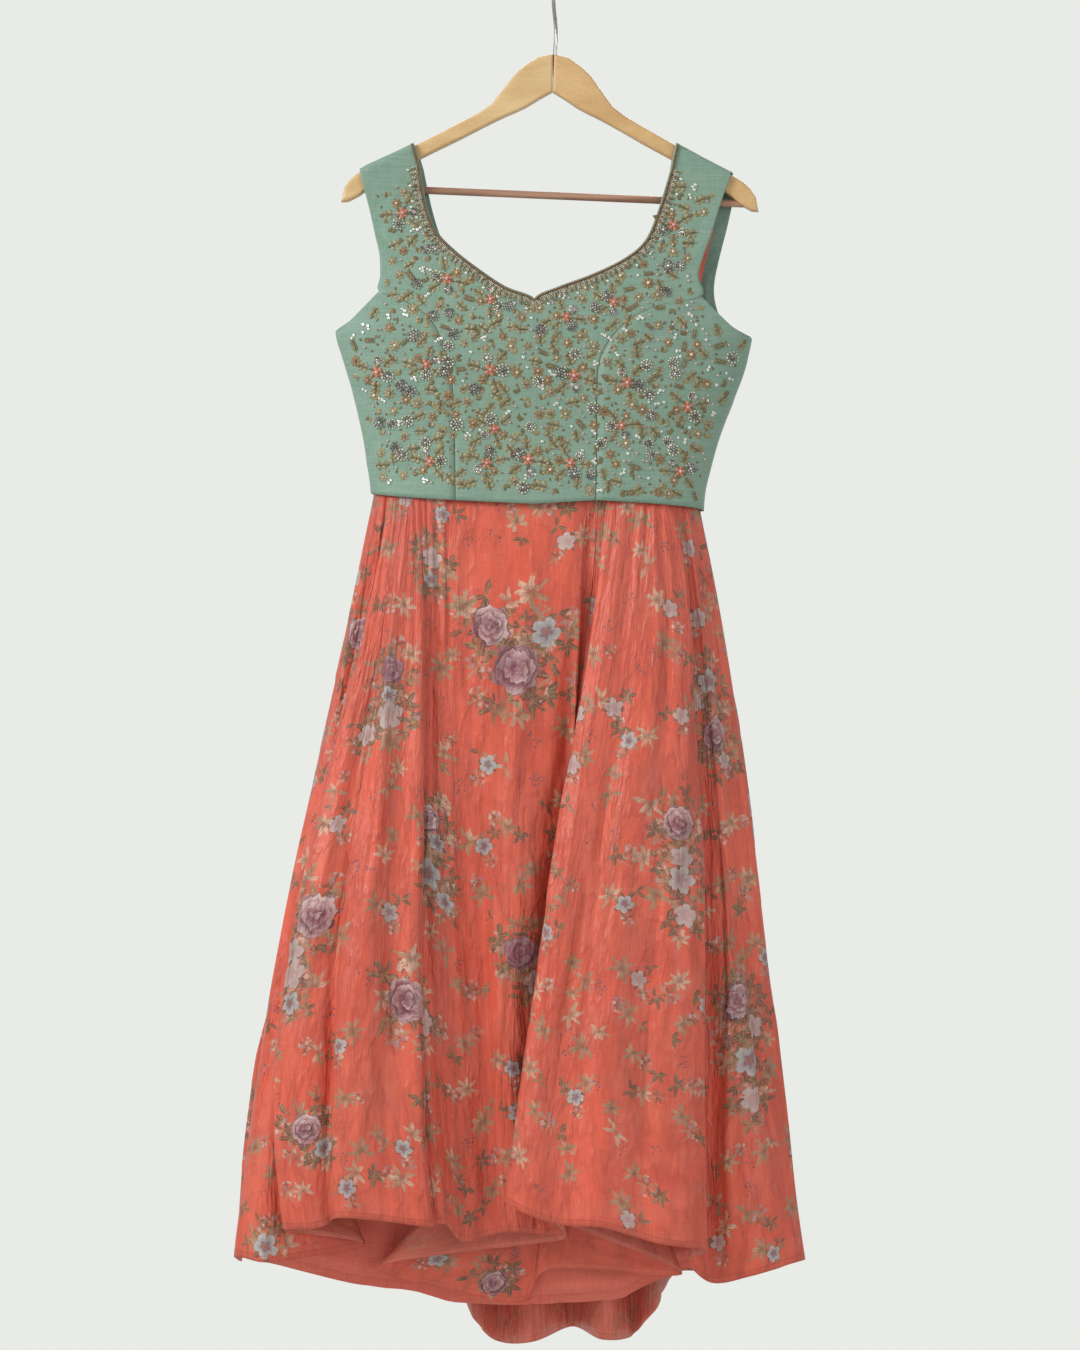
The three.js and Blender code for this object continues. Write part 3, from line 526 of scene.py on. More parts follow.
def add_piece(name, mesh, slot, *finishes):
    """Puts a finished mesh in the scene and lets it ride on the set's one body."""
    piece = bpy.data.objects.new(name, mesh)
    bpy.context.scene.collection.objects.link(piece)
    for finish in finishes:
        mesh.materials.append(finish)
    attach(piece, "root")
    return piece


def grid_faces(rows, columns, start=0, wrap=False):
    """Four-sided faces of a grid of points, row by row."""
    j, i = np.meshgrid(np.arange(rows - 1), np.arange(columns - (not wrap)), indexing="ij")
    right = (i + 1) % columns
    corners = [(j, i), (j, right), (j + 1, right), (j + 1, i)]
    return start + np.stack([a * columns + b for a, b in corners], -1).reshape(-1, 4)


def shell(name, sheets, slot, finishes, thin=THIN, wrap=False, notes=None):
    """A thin closed shell from one or more grids that meet at their edges."""
    points, faces = [], []
    for sheet in sheets:
        start = sum(len(block) for block in points)
        faces.append(grid_faces(*sheet.shape[:2], start, wrap))
        points.append(sheet.reshape(-1, 3))
    mesh = bpy.data.meshes.new(name)
    mesh.from_pydata((np.concatenate(points) * MM).tolist(), [],
                     np.concatenate(faces).tolist())
    for key, (domain, values) in (notes or {}).items():
        note = mesh.attributes.new(key, "FLOAT_VECTOR", domain)
        note.data.foreach_set("vector", np.ascontiguousarray(values, np.float32).ravel())
    work = bmesh.new()
    work.from_mesh(mesh)
    bmesh.ops.remove_doubles(work, verts=work.verts, dist=0.02 * MM)
    work.to_mesh(mesh)
    work.free()
    mesh.shade_smooth()
    piece = add_piece(name, mesh, slot, *finishes)
    wall = piece.modifiers.new("wall", "SOLIDIFY")
    wall.thickness, wall.offset = thin * MM, -1
    wall.material_offset = len(finishes) - 1
    bpy.context.view_layer.update()
    piece.data = bpy.data.meshes.new_from_object(
        piece.evaluated_get(bpy.context.evaluated_depsgraph_get()))
    piece.data.name = name
    piece.modifiers.clear()
    faces = sum(len(face.vertices) - 2 for face in piece.data.polygons)
    area = sum(face.area for face in piece.data.polygons) / 2
    print(f"{name}: {faces} triangles, cloth area {area:.4f} m2")
    return piece


# %% [markdown]
# ## The silk of the top
# The top is plain-woven sea-green silk with slubs, thicker threads that run level and upright.
# Two noises stretched along the threads make them; they tint the colour and feed a low bump.
# Broad soft patches keep the dye from looking sprayed on.

# %% Top silk
def woven(finish, place, fine, long):
    """Heights of the level and of the upright slubs; fine and long are waves to a metre."""
    level = finish.noise(finish.stretch(place, (long, long, fine)), 1.0, detail=3.0)
    upright = finish.noise(finish.stretch(place, (fine, fine, long)), 1.0, detail=3.0)
    return level, upright


def top_silk(name, light, dark, sheen):
    silk = Finish(name)
    place = silk.object_place()
    level, upright = woven(silk, place, 1100.0, 45.0)
    threads = level * 0.6 + upright * 0.4
    cloudy = silk.noise(place, 14.0, detail=3.0)
    colour = silk.blend(threads.ramp(0.34, 0.66), paint(*dark), paint(*light))
    colour = silk.blend(cloudy.ramp(0.3, 0.75) * 0.3, colour, paint(146, 168, 146))
    crinkle = silk.bump(silk.noise(place, 55.0, detail=5.0, roughness=0.6), 0.0026, 0.5)
    normal = silk.bump(threads, 0.0003, 0.5, under=crinkle)
    return silk.coat(colour, Roughness=threads.ramp(0.2, 0.8) * 0.2 + 0.42, Normal=normal,
                     Sheen_Weight=sheen, Sheen_Roughness=0.4, Specular_IOR_Level=0.35)


TOP_SILK = top_silk("top silk", (139, 168, 149), (120, 150, 132), 0.3)
TOP_WRONG_SIDE = top_silk("top silk wrong side", (138, 168, 150), (120, 150, 132), 0.15)


# %% Coral lining
def lining_silk(name, light, dark):
    """Thin plain coral cloth with faint threads and a soft crinkle."""
    cloth = Finish(name)
    place = cloth.object_place()
    level, upright = woven(cloth, place, 900.0, 60.0)
    colour = cloth.blend((level * 0.5 + upright * 0.5).ramp(0.35, 0.65), paint(*dark),
                         paint(*light))
    colour = cloth.blend(cloth.noise(place, 9.0, detail=3.0).ramp(0.3, 0.8) * 0.4, colour,
                         paint(236, 134, 112))
    normal = cloth.bump(cloth.noise(place, 60.0, detail=4.0), 0.002, 0.4)
    return cloth.coat(colour, Roughness=level * 0.2 + 0.5, Normal=normal, Sheen_Weight=0.2)


LINING_SILK = lining_silk("coral lining", (232, 112, 92), (216, 92, 72))


# %% Shells of the top
def top_piece(name, halves, creases):
    sheets = [creased(half, creases) for half in halves]
    return shell(name, sheets, "top_silk", [TOP_SILK, TOP_WRONG_SIDE])


def mirrored(sheet):
    return sheet[:, ::-1]


left_front = panel(front_lines(FRONT_LEFT, 1), front=True, columns=30, each=8,
                   strap=SHOULDER_LEFT)
right_front = mirrored(panel(front_lines(FRONT_RIGHT, -1), front=True, columns=30, each=8,
                             strap=SHOULDER_RIGHT))
top_piece("front_centre_cloth", [left_front, right_front], FRONT_CREASES)
left_side = panel(side_lines(SIDE_LEFT, FRONT_LEFT), front=True, columns=24, each=8,
                  shift=(0, -GAP), rows=SEAM_ROWS)
right_side = mirrored(panel(side_lines(SIDE_RIGHT, FRONT_RIGHT), front=True, columns=24, each=8,
                            shift=(0, GAP), rows=SEAM_ROWS))
top_piece("front_side_left_cloth", [left_side], FRONT_CREASES)
top_piece("front_side_right_cloth", [right_side], FRONT_CREASES)
right_back = panel(BACK_RIGHT, front=False, columns=50, each=8, strap=BACK_SHOULDER_RIGHT)
left_back = mirrored(panel(BACK_LEFT, front=False, columns=50, each=8, strap=SHOULDER_LEFT))
top_piece("back_cloth", [right_back, left_back], BACK_CREASES)

# %% [markdown]
# ## The skirt
# The skirt is gathered at the waist and falls in deep folds of its own. Every fold line has four
# places down its length, a distance from the middle and a hem height. Smooth curves join them,
# so a fold opens from a small pleat under the top to a wide wave at the hem.

# %% Fold lines
TOP_HEM = table(
    "x z", (-194, -551), (-119, -560), (-20, -565.5), (49, -561), (102, -563), (161, -571))
SEAT_OVAL = {"left": -191.3, "right": 158, "front": 42, "back": 39}
WAIST_OVAL = {"left": -186, "right": 152, "front": 36.5, "back": 34.5}
PLEAT = 0.04
OPENING = 0.8
FOLD = "x0 x1 x2 x3 y hem"
FRONT_FOLDS = table(
    FOLD,
    (-191, -247, -300, -332, 0, -1370), (-190, -248, -302, -339, -26, -1360),
    (-186, -235, -288, -306, -52, -1363), (-182, -227, -275, -267, -44, -1360),
    (-177, -215, -255, -198, -18, -1349), (-173, -230, -283, -279, -70, -1327),
    (-168, -213, -260, -254, -84, -1323), (-163, -195, -228, -232, -76, -1317),
    (-157, -183, -207, -217, -96, -1309), (-150, -161, -174, -168, -100, -1314),
    (-143, -142, -145, -130, -90, -1320), (-137, -136, -141, -127, -70, -1322),
    (-130, -128, -128, -113, -64, -1321), (-117, -112, -103, -96, -50, -1341),
    (-102, -96, -80, -71, -46, -1337), (-61, -61, -59, -47, -52, -1331),
    (-9, -26, -35, -19, -44, -1334), (30, 19, 7, 9, -34, -1342),
    (37, 17, -24, -184, -22, -1371), (42, 21, -9, -104, -9, -1400),
    (47, 27, 3, -30, -7, -1412), (50, 31, 22, -2, -13, -1376),
    (54, 42, 62, 136, -32, -1379), (57, 34, 28, 46, -62, -1334),
    (59, 21, -16, -48, -84, -1295), (73, 39, 3, -24, -106, -1306),
    (90, 62, 32, 7, -103, -1316), (104, 94, 65, 53, -114, -1318),
    (117, 129, 120, 111, -104, -1336), (128, 153, 157, 161, -78, -1346),
    (133, 147, 149, 143, -48, -1363), (138, 160, 167, 167, -42, -1386),
    (143, 171, 192, 207, -56, -1377), (149, 182, 214, 244, -36, -1369),
    (155.5, 201, 232, 267, -14, -1366), (157.5, 200, 230, 263, 0, -1367))
BACK_CRESTS = table(
    FOLD,
    (145, 182, 213, 240, 62, -1380), (104, 127, 143, 134, 88, -1396),
    (56, 70, 80, 86, 78, -1462), (8, 10, 14, 21, 98, -1456),
    (-41, -46, -52, -59, 84, -1470), (-89, -105, -117, -108, 94, -1408),
    (-137, -161, -187, -214, 72, -1390), (-177, -221, -259, -289, 50, -1376))
BACK_HOLLOWS = (34, 40, 34, 44, 36, 40, 30)


def back_folds():
    """The back's crests and hollows between the two side seams."""
    first, last = ({name: FRONT_FOLDS[name][k] for name in FOLD.split()} for k in (0, -1))
    crests = [{name: BACK_CRESTS[name][k] for name in FOLD.split()}
              for k in range(len(BACK_CRESTS["y"]))]
    lines = [last, {**last, "x0": 155.5, "x1": 201, "x2": 231, "x3": 265, "y": 22}]
    for crest, following, hollow in zip(crests, crests[1:], BACK_HOLLOWS):
        half = {name: 0.5 * (crest[name] + following[name]) for name in crest}
        lines += [crest, {**half, "y": hollow}]
    lines += [crests[-1], {**first, "x0": -189, "x1": -247, "x2": -301, "x3": -336, "y": 24}]
    lines.append(first)
    return {name: np.array([line[name] for line in lines], float) for name in FOLD.split()}


# %% Skirt sheets
ROW_CROWDING = 1.15  # over 1, so that rows crowd towards the gathered top
WAIST_SHARE = 0.967  # width at the waist for 1 at the top's hem


def middle_of(section):
    return 0.5 * (section["left"] + section["right"])


def stand_at(section, x, depth):
    across = (x - middle_of(section)) / (0.5 * (section["right"] - section["left"]))
    return depth * oval(np.minimum(0.9999, np.abs(across)))


def down_through(places, down):
    """A smooth curve through four places that are a third of the way down apart."""
    x0, x1, x2, x3 = places
    a, b, c = down - 1 / 3, down - 2 / 3, down - 1
    return (-4.5 * x0 * a * b * c + 13.5 * x1 * down * b * c
            - 13.5 * x2 * down * a * c + 4.5 * x3 * down * a * b)


def skirt_sheet(folds, front, each, rows):
    """The skirt's grid from the hem up, and the share of the way down of each of its rows."""
    t = np.linspace(0, len(folds["y"]) - 1, (len(folds["y"]) - 1) * each + 1)
    *places, y, hem = (through(folds[name], t) for name in FOLD.split())
    x0 = places[0]
    depth, sign = ("front", -1) if front else ("back", 1)
    deepest = np.max(np.abs(folds["y"]))
    seat = np.interp(x0, TOP_HEM["x"], TOP_HEM["z"]) - SEAT
    pleat = PLEAT * (deepest - np.abs(y))
    down = ((np.arange(rows, -1, -1) / rows) ** ROW_CROWDING)[:, None]
    near = np.maximum(0, stand_at(SEAT_OVAL, x0, SEAT_OVAL[depth]) - pleat)
    off = mix(near, np.abs(y), down ** OPENING)
    below = np.stack([down_through(places, down), off, mix(seat, hem, down)], -1)
    waist_x = middle_of(WAIST_OVAL) + (x0 - middle_of(SEAT_OVAL)) * WAIST_SHARE
    waist_y = np.maximum(0, stand_at(WAIST_OVAL, waist_x, WAIST_OVAL[depth]) - pleat)
    top = np.stack([waist_x, waist_y, 0 * waist_x + WAIST - GAP], -1)
    above = mix(below[-1], top, np.linspace(0, 1, 6)[1:, None, None])
    sheet = np.concatenate([below, above])
    sheet[..., 1] = np.maximum(sheet[..., 1], 0.5 * GAP)
    sheet[:, [0, -1], 1] = 0.5 * GAP
    sheet[..., 1] *= sign
    return sheet, np.concatenate([down[:, 0], np.zeros(5)])


def lengths(sheet):
    """How far each point lies along its row and up its column, measured on the cloth."""
    across = np.linalg.norm(np.diff(sheet, axis=1), axis=-1)
    up = np.linalg.norm(np.diff(sheet, axis=0), axis=-1)
    return (np.pad(np.cumsum(across, 1), ((0, 0), (1, 0))),
            np.pad(np.cumsum(up, 0), ((1, 0), (0, 0))))


def gather(sheet, down, seed, gathers, folds):
    """Fine gathers under the top's hem and long soft folds further down, none alike."""
    rng = np.random.default_rng(seed)
    columns = sheet.shape[1]
    across, _ = lengths(sheet)
    out = level_way_out(sheet)
    height = np.zeros(sheet.shape[:2])
    rows = np.arange(len(down))

    def fold(column, drift, start, end, narrow, wide, deep):
        place = np.clip(column + drift * down, 1, columns - 2)
        centre = across[rows, np.round(place).astype(int)][:, None]
        width = mix(narrow, wide, soft_step(start, end, down))[:, None]
        reach = 0.35 * (end - start)
        fade = soft_step(start - 0.02, start + reach * 0.5, down)
        fade = fade * soft_step(end, end - reach * 1.6, down)
        return deep * fade[:, None] * np.exp(-((across - centre) / width) ** 2)

    starts = np.linspace(2, columns - 3, gathers) + rng.uniform(-1.6, 1.6, gathers)
    for k, column in enumerate(starts):
        sign = 1 if k % 2 else -1
        height += fold(column, rng.uniform(-6, 6), -0.02, rng.uniform(0.12, 0.55),
                       rng.uniform(1.8, 2.8), rng.uniform(5, 9), sign * rng.uniform(0.9, 2.0))
    for _ in range(folds):
        start = rng.uniform(0.02, 0.7)
        height += fold(rng.uniform(4, columns - 5), rng.uniform(-16, 16), start,
                       min(1.25, start + rng.uniform(0.25, 0.6)), rng.uniform(2.5, 5),
                       rng.uniform(6, 14), rng.choice((-1, 1)) * rng.uniform(1.8, 4.6))
    for _ in range(folds // 3):
        start = rng.uniform(0.0, 0.4)
        height += fold(rng.uniform(6, columns - 7), rng.uniform(-10, 10), start, 1.3,
                       rng.uniform(5, 8), rng.uniform(18, 34),
                       rng.choice((-1, 1)) * rng.uniform(2.5, 5.0))
    edge = np.minimum(across, across[:, -1:] - across)
    height *= soft_step(0, 12, edge)
    return sheet + out * height[..., None]


front_skirt, front_down = skirt_sheet(FRONT_FOLDS, front=True, each=9, rows=110)
front_skirt = gather(front_skirt, front_down, seed=11, gathers=74, folds=110)
back_skirt, back_down = skirt_sheet(back_folds(), front=False, each=12, rows=92)
back_skirt = gather(back_skirt, back_down, seed=12, gathers=70, folds=70)
print("skirt grids", front_skirt.shape, back_skirt.shape)


# %% [markdown]
# ## The print
# Bunches of mauve roses, grey-blue open flowers, beige and olive leaves, small cream flowers and
# berries lie on coral silk. A recipe says what a bunch is made of. The front's main bunches have
# listed places, and sprays and twigs fall wherever there is room between them.
#
# Each motif gets a place on the cloth, and every face near it carries the place measured from
# the motif's middle, in motif radii. The finish then draws the motif from that place alone, so
# it folds with the cloth and stays sharp. Three notes keep three layers: small flowers under
# leaves, and leaves under big flowers.

# %% Where the motifs lie
LAYER = {"rose": ("bloom", 0), "open_flower": ("bloom", 1), "sprig": ("leaf", 0),
         "leaves": ("leaf", 1), "small_flowers": ("small", 0), "berries": ("small", 1)}
# What a bunch is made of: kind, across, up and radius, all in radii of its largest flower
RECIPES = {
    "roses": [("rose", 0, 0, 1.1), ("rose", 1.2, 1.45, 0.85), ("open_flower", -0.85, 1.4, 0.7),
              ("leaves", -1.3, 0.3, 0.75), ("leaves", -0.9, -1.0, 0.75), ("sprig", 0.1, 2.9, 0.95),
              ("sprig", 2.2, 2.0, 0.85), ("sprig", -0.4, -1.7, 0.8), ("leaves", 0.7, -1.5, 0.7),
              ("small_flowers", 1.5, -0.1, 0.7), ("small_flowers", 1.3, -1.4, 0.6),
              ("berries", -1.2, -2.5, 0.4), ("small_flowers", -1.8, 2.2, 0.6),
              ("leaves", 0.1, 1.6, 0.75)],
    "rose": [("rose", 0, 0, 1.12), ("open_flower", 0.7, -1.5, 0.75), ("leaves", -1.1, 0.8, 0.8),
             ("sprig", 0.9, 1.5, 0.9), ("leaves", 1.2, 0.1, 0.8),
             ("small_flowers", -1.1, -1.2, 0.8), ("berries", -1.5, 1.9, 0.5)],
    "flowers": [("open_flower", 0, 0, 1.1), ("open_flower", 0.8, -1.7, 0.85),
                ("leaves", -1.1, 0.8, 0.9), ("small_flowers", 1.2, 1.1, 1.0),
                ("sprig", -1.0, -1.5, 1.1), ("leaves", 0.3, 1.7, 0.8)],
    "spray": [("small_flowers", 0, 0, 1.2), ("sprig", 1.2, 0.7, 1.3), ("leaves", -1.2, -0.5, 1.1)],
    "tall spray": [("open_flower", 0, 0, 1.0), ("sprig", -1.2, 0.9, 1.3),
                   ("leaves", 1.2, 0.7, 1.1), ("small_flowers", 0.2, -1.4, 0.9)],
    "twig": [("sprig", 0, 0, 1.4), ("sprig", 1.0, 1.4, 1.1), ("berries", -1.3, -1.0, 0.8)],
    "leafy twig": [("sprig", 0, 0, 1.3), ("leaves", 1.0, -1.0, 1.0),
                   ("small_flowers", -1.1, 0.8, 0.9)],
    "berries": [("berries", 0, 0, 0.8)],
}
SPRAYS = ("spray", "tall spray", "twig", "leafy twig", "berries")
RING = ("leaves", "sprig", "leaves", "small_flowers", "leaves", "sprig", "leaves",
        "small_flowers", "leaves")
SAME_PLACE = 4.0  # two layers of cloth this near each other, as seen, are at one place
MOTIF_REACH = 1.35  # how far a motif may show from its middle, in its radii
NO_MOTIF = 9.0  # radii from a motif, where there is none
EVEN_WIDTH = 1.4  # metres that threads and creases are counted over, from edge to edge
# Main bunches of the front: x and z from the front, radius and recipe
BUNCHES = [
    (-40, -740, 28, "roses"), (-210, -700, 20, "rose"), (-170, -740, 16, "rose"),
    (-170, -790, 17, "flowers"), (-130, -620, 13, "flowers"), (160, -750, 16, "flowers"),
    (170, -810, 18, "rose"), (140, -900, 21, "rose"), (140, -960, 18, "flowers"),
    (-130, -900, 16, "rose"), (-130, -960, 17, "flowers"), (-260, -1000, 26, "rose"),
    (-280, -1060, 18, "flowers"), (-30, -1040, 20, "rose"), (-160, -1090, 24, "rose"),
    (200, -1090, 22, "rose"), (210, -1150, 20, "flowers"), (-260, -1230, 19, "rose"),
    (-310, -1350, 16, "flowers"), (-60, -1400, 15, "rose"),
]


def nearest_place(sheet, x, z):
    """Row and column of the cloth that is seen at x and z from the front."""
    spread = -CAMERA_AT[1] / (-CAMERA_AT[1] + sheet[..., 1])
    seen_x = CAMERA_AT[0] + (sheet[..., 0] - CAMERA_AT[0]) * spread
    seen_z = CAMERA_AT[2] + (sheet[..., 2] - CAMERA_AT[2]) * spread
    far = np.hypot(seen_x - x, seen_z - z)
    depth = np.where(far < far.min() + SAME_PLACE, sheet[..., 1], 1e6)
    return np.unravel_index(np.argmin(depth), depth.shape)


class PrintedCloth:
    """A sheet of cloth and the motifs that are printed on it."""

    def __init__(self, sheet, seed):
        self.sheet = sheet
        self.across, self.up = lengths(sheet)
        self.rng = np.random.default_rng(seed)
        self.motifs = []
        print("cloth at the top, at the hem and down, mm:",
              [round(float(n)) for n in (self.across[-1, -1], self.across[0, -1],
                                         self.up[-1].mean())])

    def put(self, kind, row, column, radius):
        turn, seed = self.rng.uniform(-0.9, 0.9), self.rng.uniform(0.05, 0.95)
        self.motifs.append((kind, int(row), int(column), radius, turn, seed))

    def far(self, row, column):
        """How clear of every motif a place is, in millimetres."""
        if not self.motifs:
            return 1e6
        rows, columns, radii = (np.array([m[k] for m in self.motifs]) for k in (1, 2, 3))
        across = self.across[row, column] - self.across[row, columns]
        up = self.up[row, column] - self.up[rows, column]
        return float(np.min(np.hypot(across, up) - radii))

    def put_bunch(self, row, column, radius, recipe):
        """Adds the motifs of a recipe, turned over or tilted a little each time."""
        side, tilt = self.rng.choice((-1, 1)), self.rng.uniform(-0.6, 0.6)
        for kind, dx, dz, share in RECIPES[recipe]:
            dx, dz = side * (dx * cos(tilt) - dz * sin(tilt)), dx * sin(tilt) + dz * cos(tilt)
            self.put_beside(kind, row, column, dx * radius, dz * radius,
                            radius * share * self.rng.uniform(0.9, 1.08))

    def put_beside(self, kind, row, column, across, up, radius):
        """Adds a motif some millimetres across and up from a place, if the cloth reaches."""
        j = np.argmin(np.abs(self.up[:, column] - self.up[row, column] - up))
        i = np.argmin(np.abs(self.across[row] - self.across[row, column] - across))
        if 1 < i < self.sheet.shape[1] - 2 and 1 < j < self.sheet.shape[0] - 2:
            self.put(kind, j, i, radius)

    def surround(self):
        """Leaves and small flowers that look out from behind every bloom."""
        for kind, row, column, radius, _, _ in list(self.motifs):
            if kind not in ("rose", "open_flower"):
                continue
            start = self.rng.uniform(0, tau)
            for k, near in enumerate(RING):
                turn = start + k * tau / len(RING) + self.rng.uniform(-0.4, 0.4)
                reach = radius * self.rng.uniform(0.8, 1.25) + 4
                self.put_beside(near, row, column, reach * cos(turn), reach * sin(turn),
                                radius * 0.5 + self.rng.uniform(5, 9))

    def scatter(self, tries, room, radius, recipes):
        """Adds a bunch wherever a random place has enough room."""
        before = len(self.motifs)
        for _ in range(tries):
            row = int(self.rng.integers(2, self.sheet.shape[0] - 3))
            column = int(self.rng.integers(2, self.sheet.shape[1] - 3))
            if self.far(row, column) > room:
                self.put_bunch(row, column, radius, recipes[int(self.rng.integers(len(recipes)))])
        print("scattered", len(self.motifs) - before, "motifs")

    def notes(self):
        """The cloth's own place at every point, and the nearest motif at every corner."""
        rows, columns = self.sheet.shape[:2]
        corners = grid_faces(rows, columns)
        j, i = corners // columns, corners % columns
        even = EVEN_WIDTH * np.linspace(0, 1, columns) + 0 * self.up
        notes = {"cloth": ("POINT", np.stack([self.across * MM, self.up * MM, even], -1))}
        for layer in ("bloom", "leaf", "small"):
            best = np.full(len(corners), MOTIF_REACH)
            values = np.full((len(corners), 4, 3), (NO_MOTIF, NO_MOTIF, 0.0))
            for kind, row, column, radius, turn, seed in self.motifs:
                if LAYER[kind][0] != layer:
                    continue
                du = (self.across[j, i] - self.across[j, column]) / radius
                dv = (self.up[j, i] - self.up[row, i]) / radius
                far = np.hypot(du.mean(1), dv.mean(1))
                mine = far < best
                best[mine] = far[mine]
                u, v = du[mine], dv[mine]
                values[mine] = np.stack([
                    u * cos(turn) + v * sin(turn), v * cos(turn) - u * sin(turn),
                    0 * u + LAYER[kind][1] + seed], -1)
            notes[layer] = ("CORNER", values)
        return notes


# %% Print both sides
front_print = PrintedCloth(front_skirt, seed=21)
for x, z, radius, recipe in BUNCHES:
    front_print.put_bunch(*nearest_place(front_skirt, x, z), radius, recipe)
front_print.surround()
front_print.scatter(tries=2000, room=14, radius=12, recipes=SPRAYS)
back_print = PrintedCloth(back_skirt, seed=22)
back_print.scatter(tries=900, room=64, radius=28, recipes=("roses",))
back_print.surround()
back_print.scatter(tries=1600, room=17, radius=12, recipes=SPRAYS)


# %% [markdown]
# ### Drawing the motifs
# The roses are rings of cells on a cylinder round the motif's middle: each cell is a petal, dark
# at its foot and pale at its lip. An open flower has five petals round a brown eye. Leaves are
# narrow lens shapes that fan out from one point. Small flowers are the cells of a flat Voronoi
# pattern, each with petals of its own. Behind roses and open flowers shows a tangle of dark
# leaves. A little noise moves every outline, as ink does on silk.

# %% Motif drawings
class Motif:
    """The place inside the nearest motif of one layer, as the finish sees it."""

    def __init__(self, ink, layer, wobble):
        place = ink.add("Attribute", pick="Vector", settings={"attribute_name": layer})
        u, v, note = parts(place, "XYZ")
        self.ink = ink
        self.u, self.v = u + wobble[0], v + wobble[1]
        self.second = note > 1.0
        self.seed = note.math("FRACT")
        self.far = (self.u * self.u + self.v * self.v).math("SQRT")
        self.turn = self.v.math("ARCTAN2", self.u) / tau

    def wave(self, count, shift=0.0):
        """Up and down count times on the way round."""
        return ((self.turn * count + shift) * tau).math("SINE")

    def fan(self, count, shift, length, wide, shy=0.0):
        """Lens-shaped leaves that fan out, some of them missing: their mask, how far off its
        midrib and how far along a place is, each leaf's own number, and the way to its edge."""
        share = self.turn * count + shift
        own = self.ink.add("TexWhiteNoise", pick="Value", settings={"noise_dimensions": "1D"},
                           W=share.math("FLOOR").math("WRAP", 0.0, float(count)) + shift)
        off = (share.math("FRACT") - 0.5) * (tau / count)
        along = self.far * off.math("COSINE") / (own * 0.4 + length - 0.2)
        aside = self.far * off.math("SINE") + (own - 0.5) * along * 0.2
        lens = (along.math("MINIMUM", 1.0).math("MAXIMUM", 0.0) ** 0.8 * pi).math("SINE") * wide
        rim = lens - abs(aside)
        return rim.ramp(0.0, 0.05) * (own > shy), aside, along, own, rim

    def tangle(self):
        """Dark leaves behind a flower."""
        ink = self.ink
        mask, aside, _, own, rim = self.fan(7, self.seed * 3, 1.22, 0.24)
        tint = ink.tints(own, (0.0, (80, 72, 54)), (0.3, (108, 98, 70)), (0.55, (96, 68, 58)),
                         (0.8, (134, 116, 86)), (1.0, (190, 148, 118)))
        tint = ink.blend((0.03 - abs(aside)).ramp(0.0, 0.025) * 0.6, tint, paint(208, 178, 142))
        tint = ink.blend(rim.ramp(0.05, 0.0) * 0.5, tint, paint(92, 66, 56))
        return tint, mask * (1.3 - self.far).ramp(0.0, 0.1)

    def rose(self):
        ink = self.ink
        far = self.far.math("MAXIMUM", 0.02)
        ring = self.far * 3.3 + self.seed * 7
        around = ink.add("CombineXYZ", X=self.u / far * 0.82, Y=self.v / far * 0.82, Z=ring)
        cell = ink.add("TexVoronoi", Vector=around, Scale=1.25, Randomness=0.85)
        near, shade, middle = (cell.also(name) for name in ("Distance", "Color", "Position"))
        lip = ring - parts(middle, "XYZ")[2]
        own = parts(shade, "Color")[0]
        light = lip * 0.75 - near * 0.42 + own * 0.22 + self.v * 0.12 + self.u * 0.1 + 0.6
        petals = ink.tints(light, (0.0, (82, 52, 60)), (0.28, (124, 90, 98)),
                           (0.5, (164, 130, 134)), (0.72, (198, 168, 168)),
                           (0.95, (226, 206, 200)))
        heart = ink.add("VectorMath", pick="Value", settings={"operation": "LENGTH"},
                        _0=ink.add("CombineXYZ", X=self.u + 0.12, Y=self.v - 0.04, Z=0.0))
        petals = ink.blend(heart.ramp(0.5, 0.08) * 0.6, petals, paint(104, 70, 86))
        petals = ink.blend(self.seed.ramp(0.5, 0.75) * 0.4, petals, paint(122, 82, 104))
        rim = self.wave(5, self.seed * 3) * 0.05 + self.wave(9, self.seed * 5) * 0.03 + 0.86
        return petals, (rim - self.far).ramp(0.0, 0.06)

    def open_flower(self):
        ink = self.ink
        petal = abs(self.wave(2.5, self.seed * 4))
        rim = petal ** 0.5 * 0.42 + 0.42
        colour = ink.tints(
            self.far + (1 - petal) * 0.16 + self.wave(27) * 0.03,
            (0.0, (106, 74, 64)), (0.14, (170, 122, 108)), (0.26, (120, 104, 112)),
            (0.42, (156, 164, 166)), (0.72, (190, 190, 186)), (0.9, (138, 140, 150)),
            (1.0, (100, 88, 98)))
        colour = ink.blend(self.seed.ramp(0.4, 0.6) * 0.6, colour, paint(212, 180, 172))
        return colour, (rim - self.far).ramp(0.0, 0.05)

    def backed(self, tint, mask):
        """A flower with its tangle of leaves behind it."""
        back, behind = self.tangle()
        return self.ink.blend(mask, back, tint), mask.math("MAXIMUM", behind * 0.9)

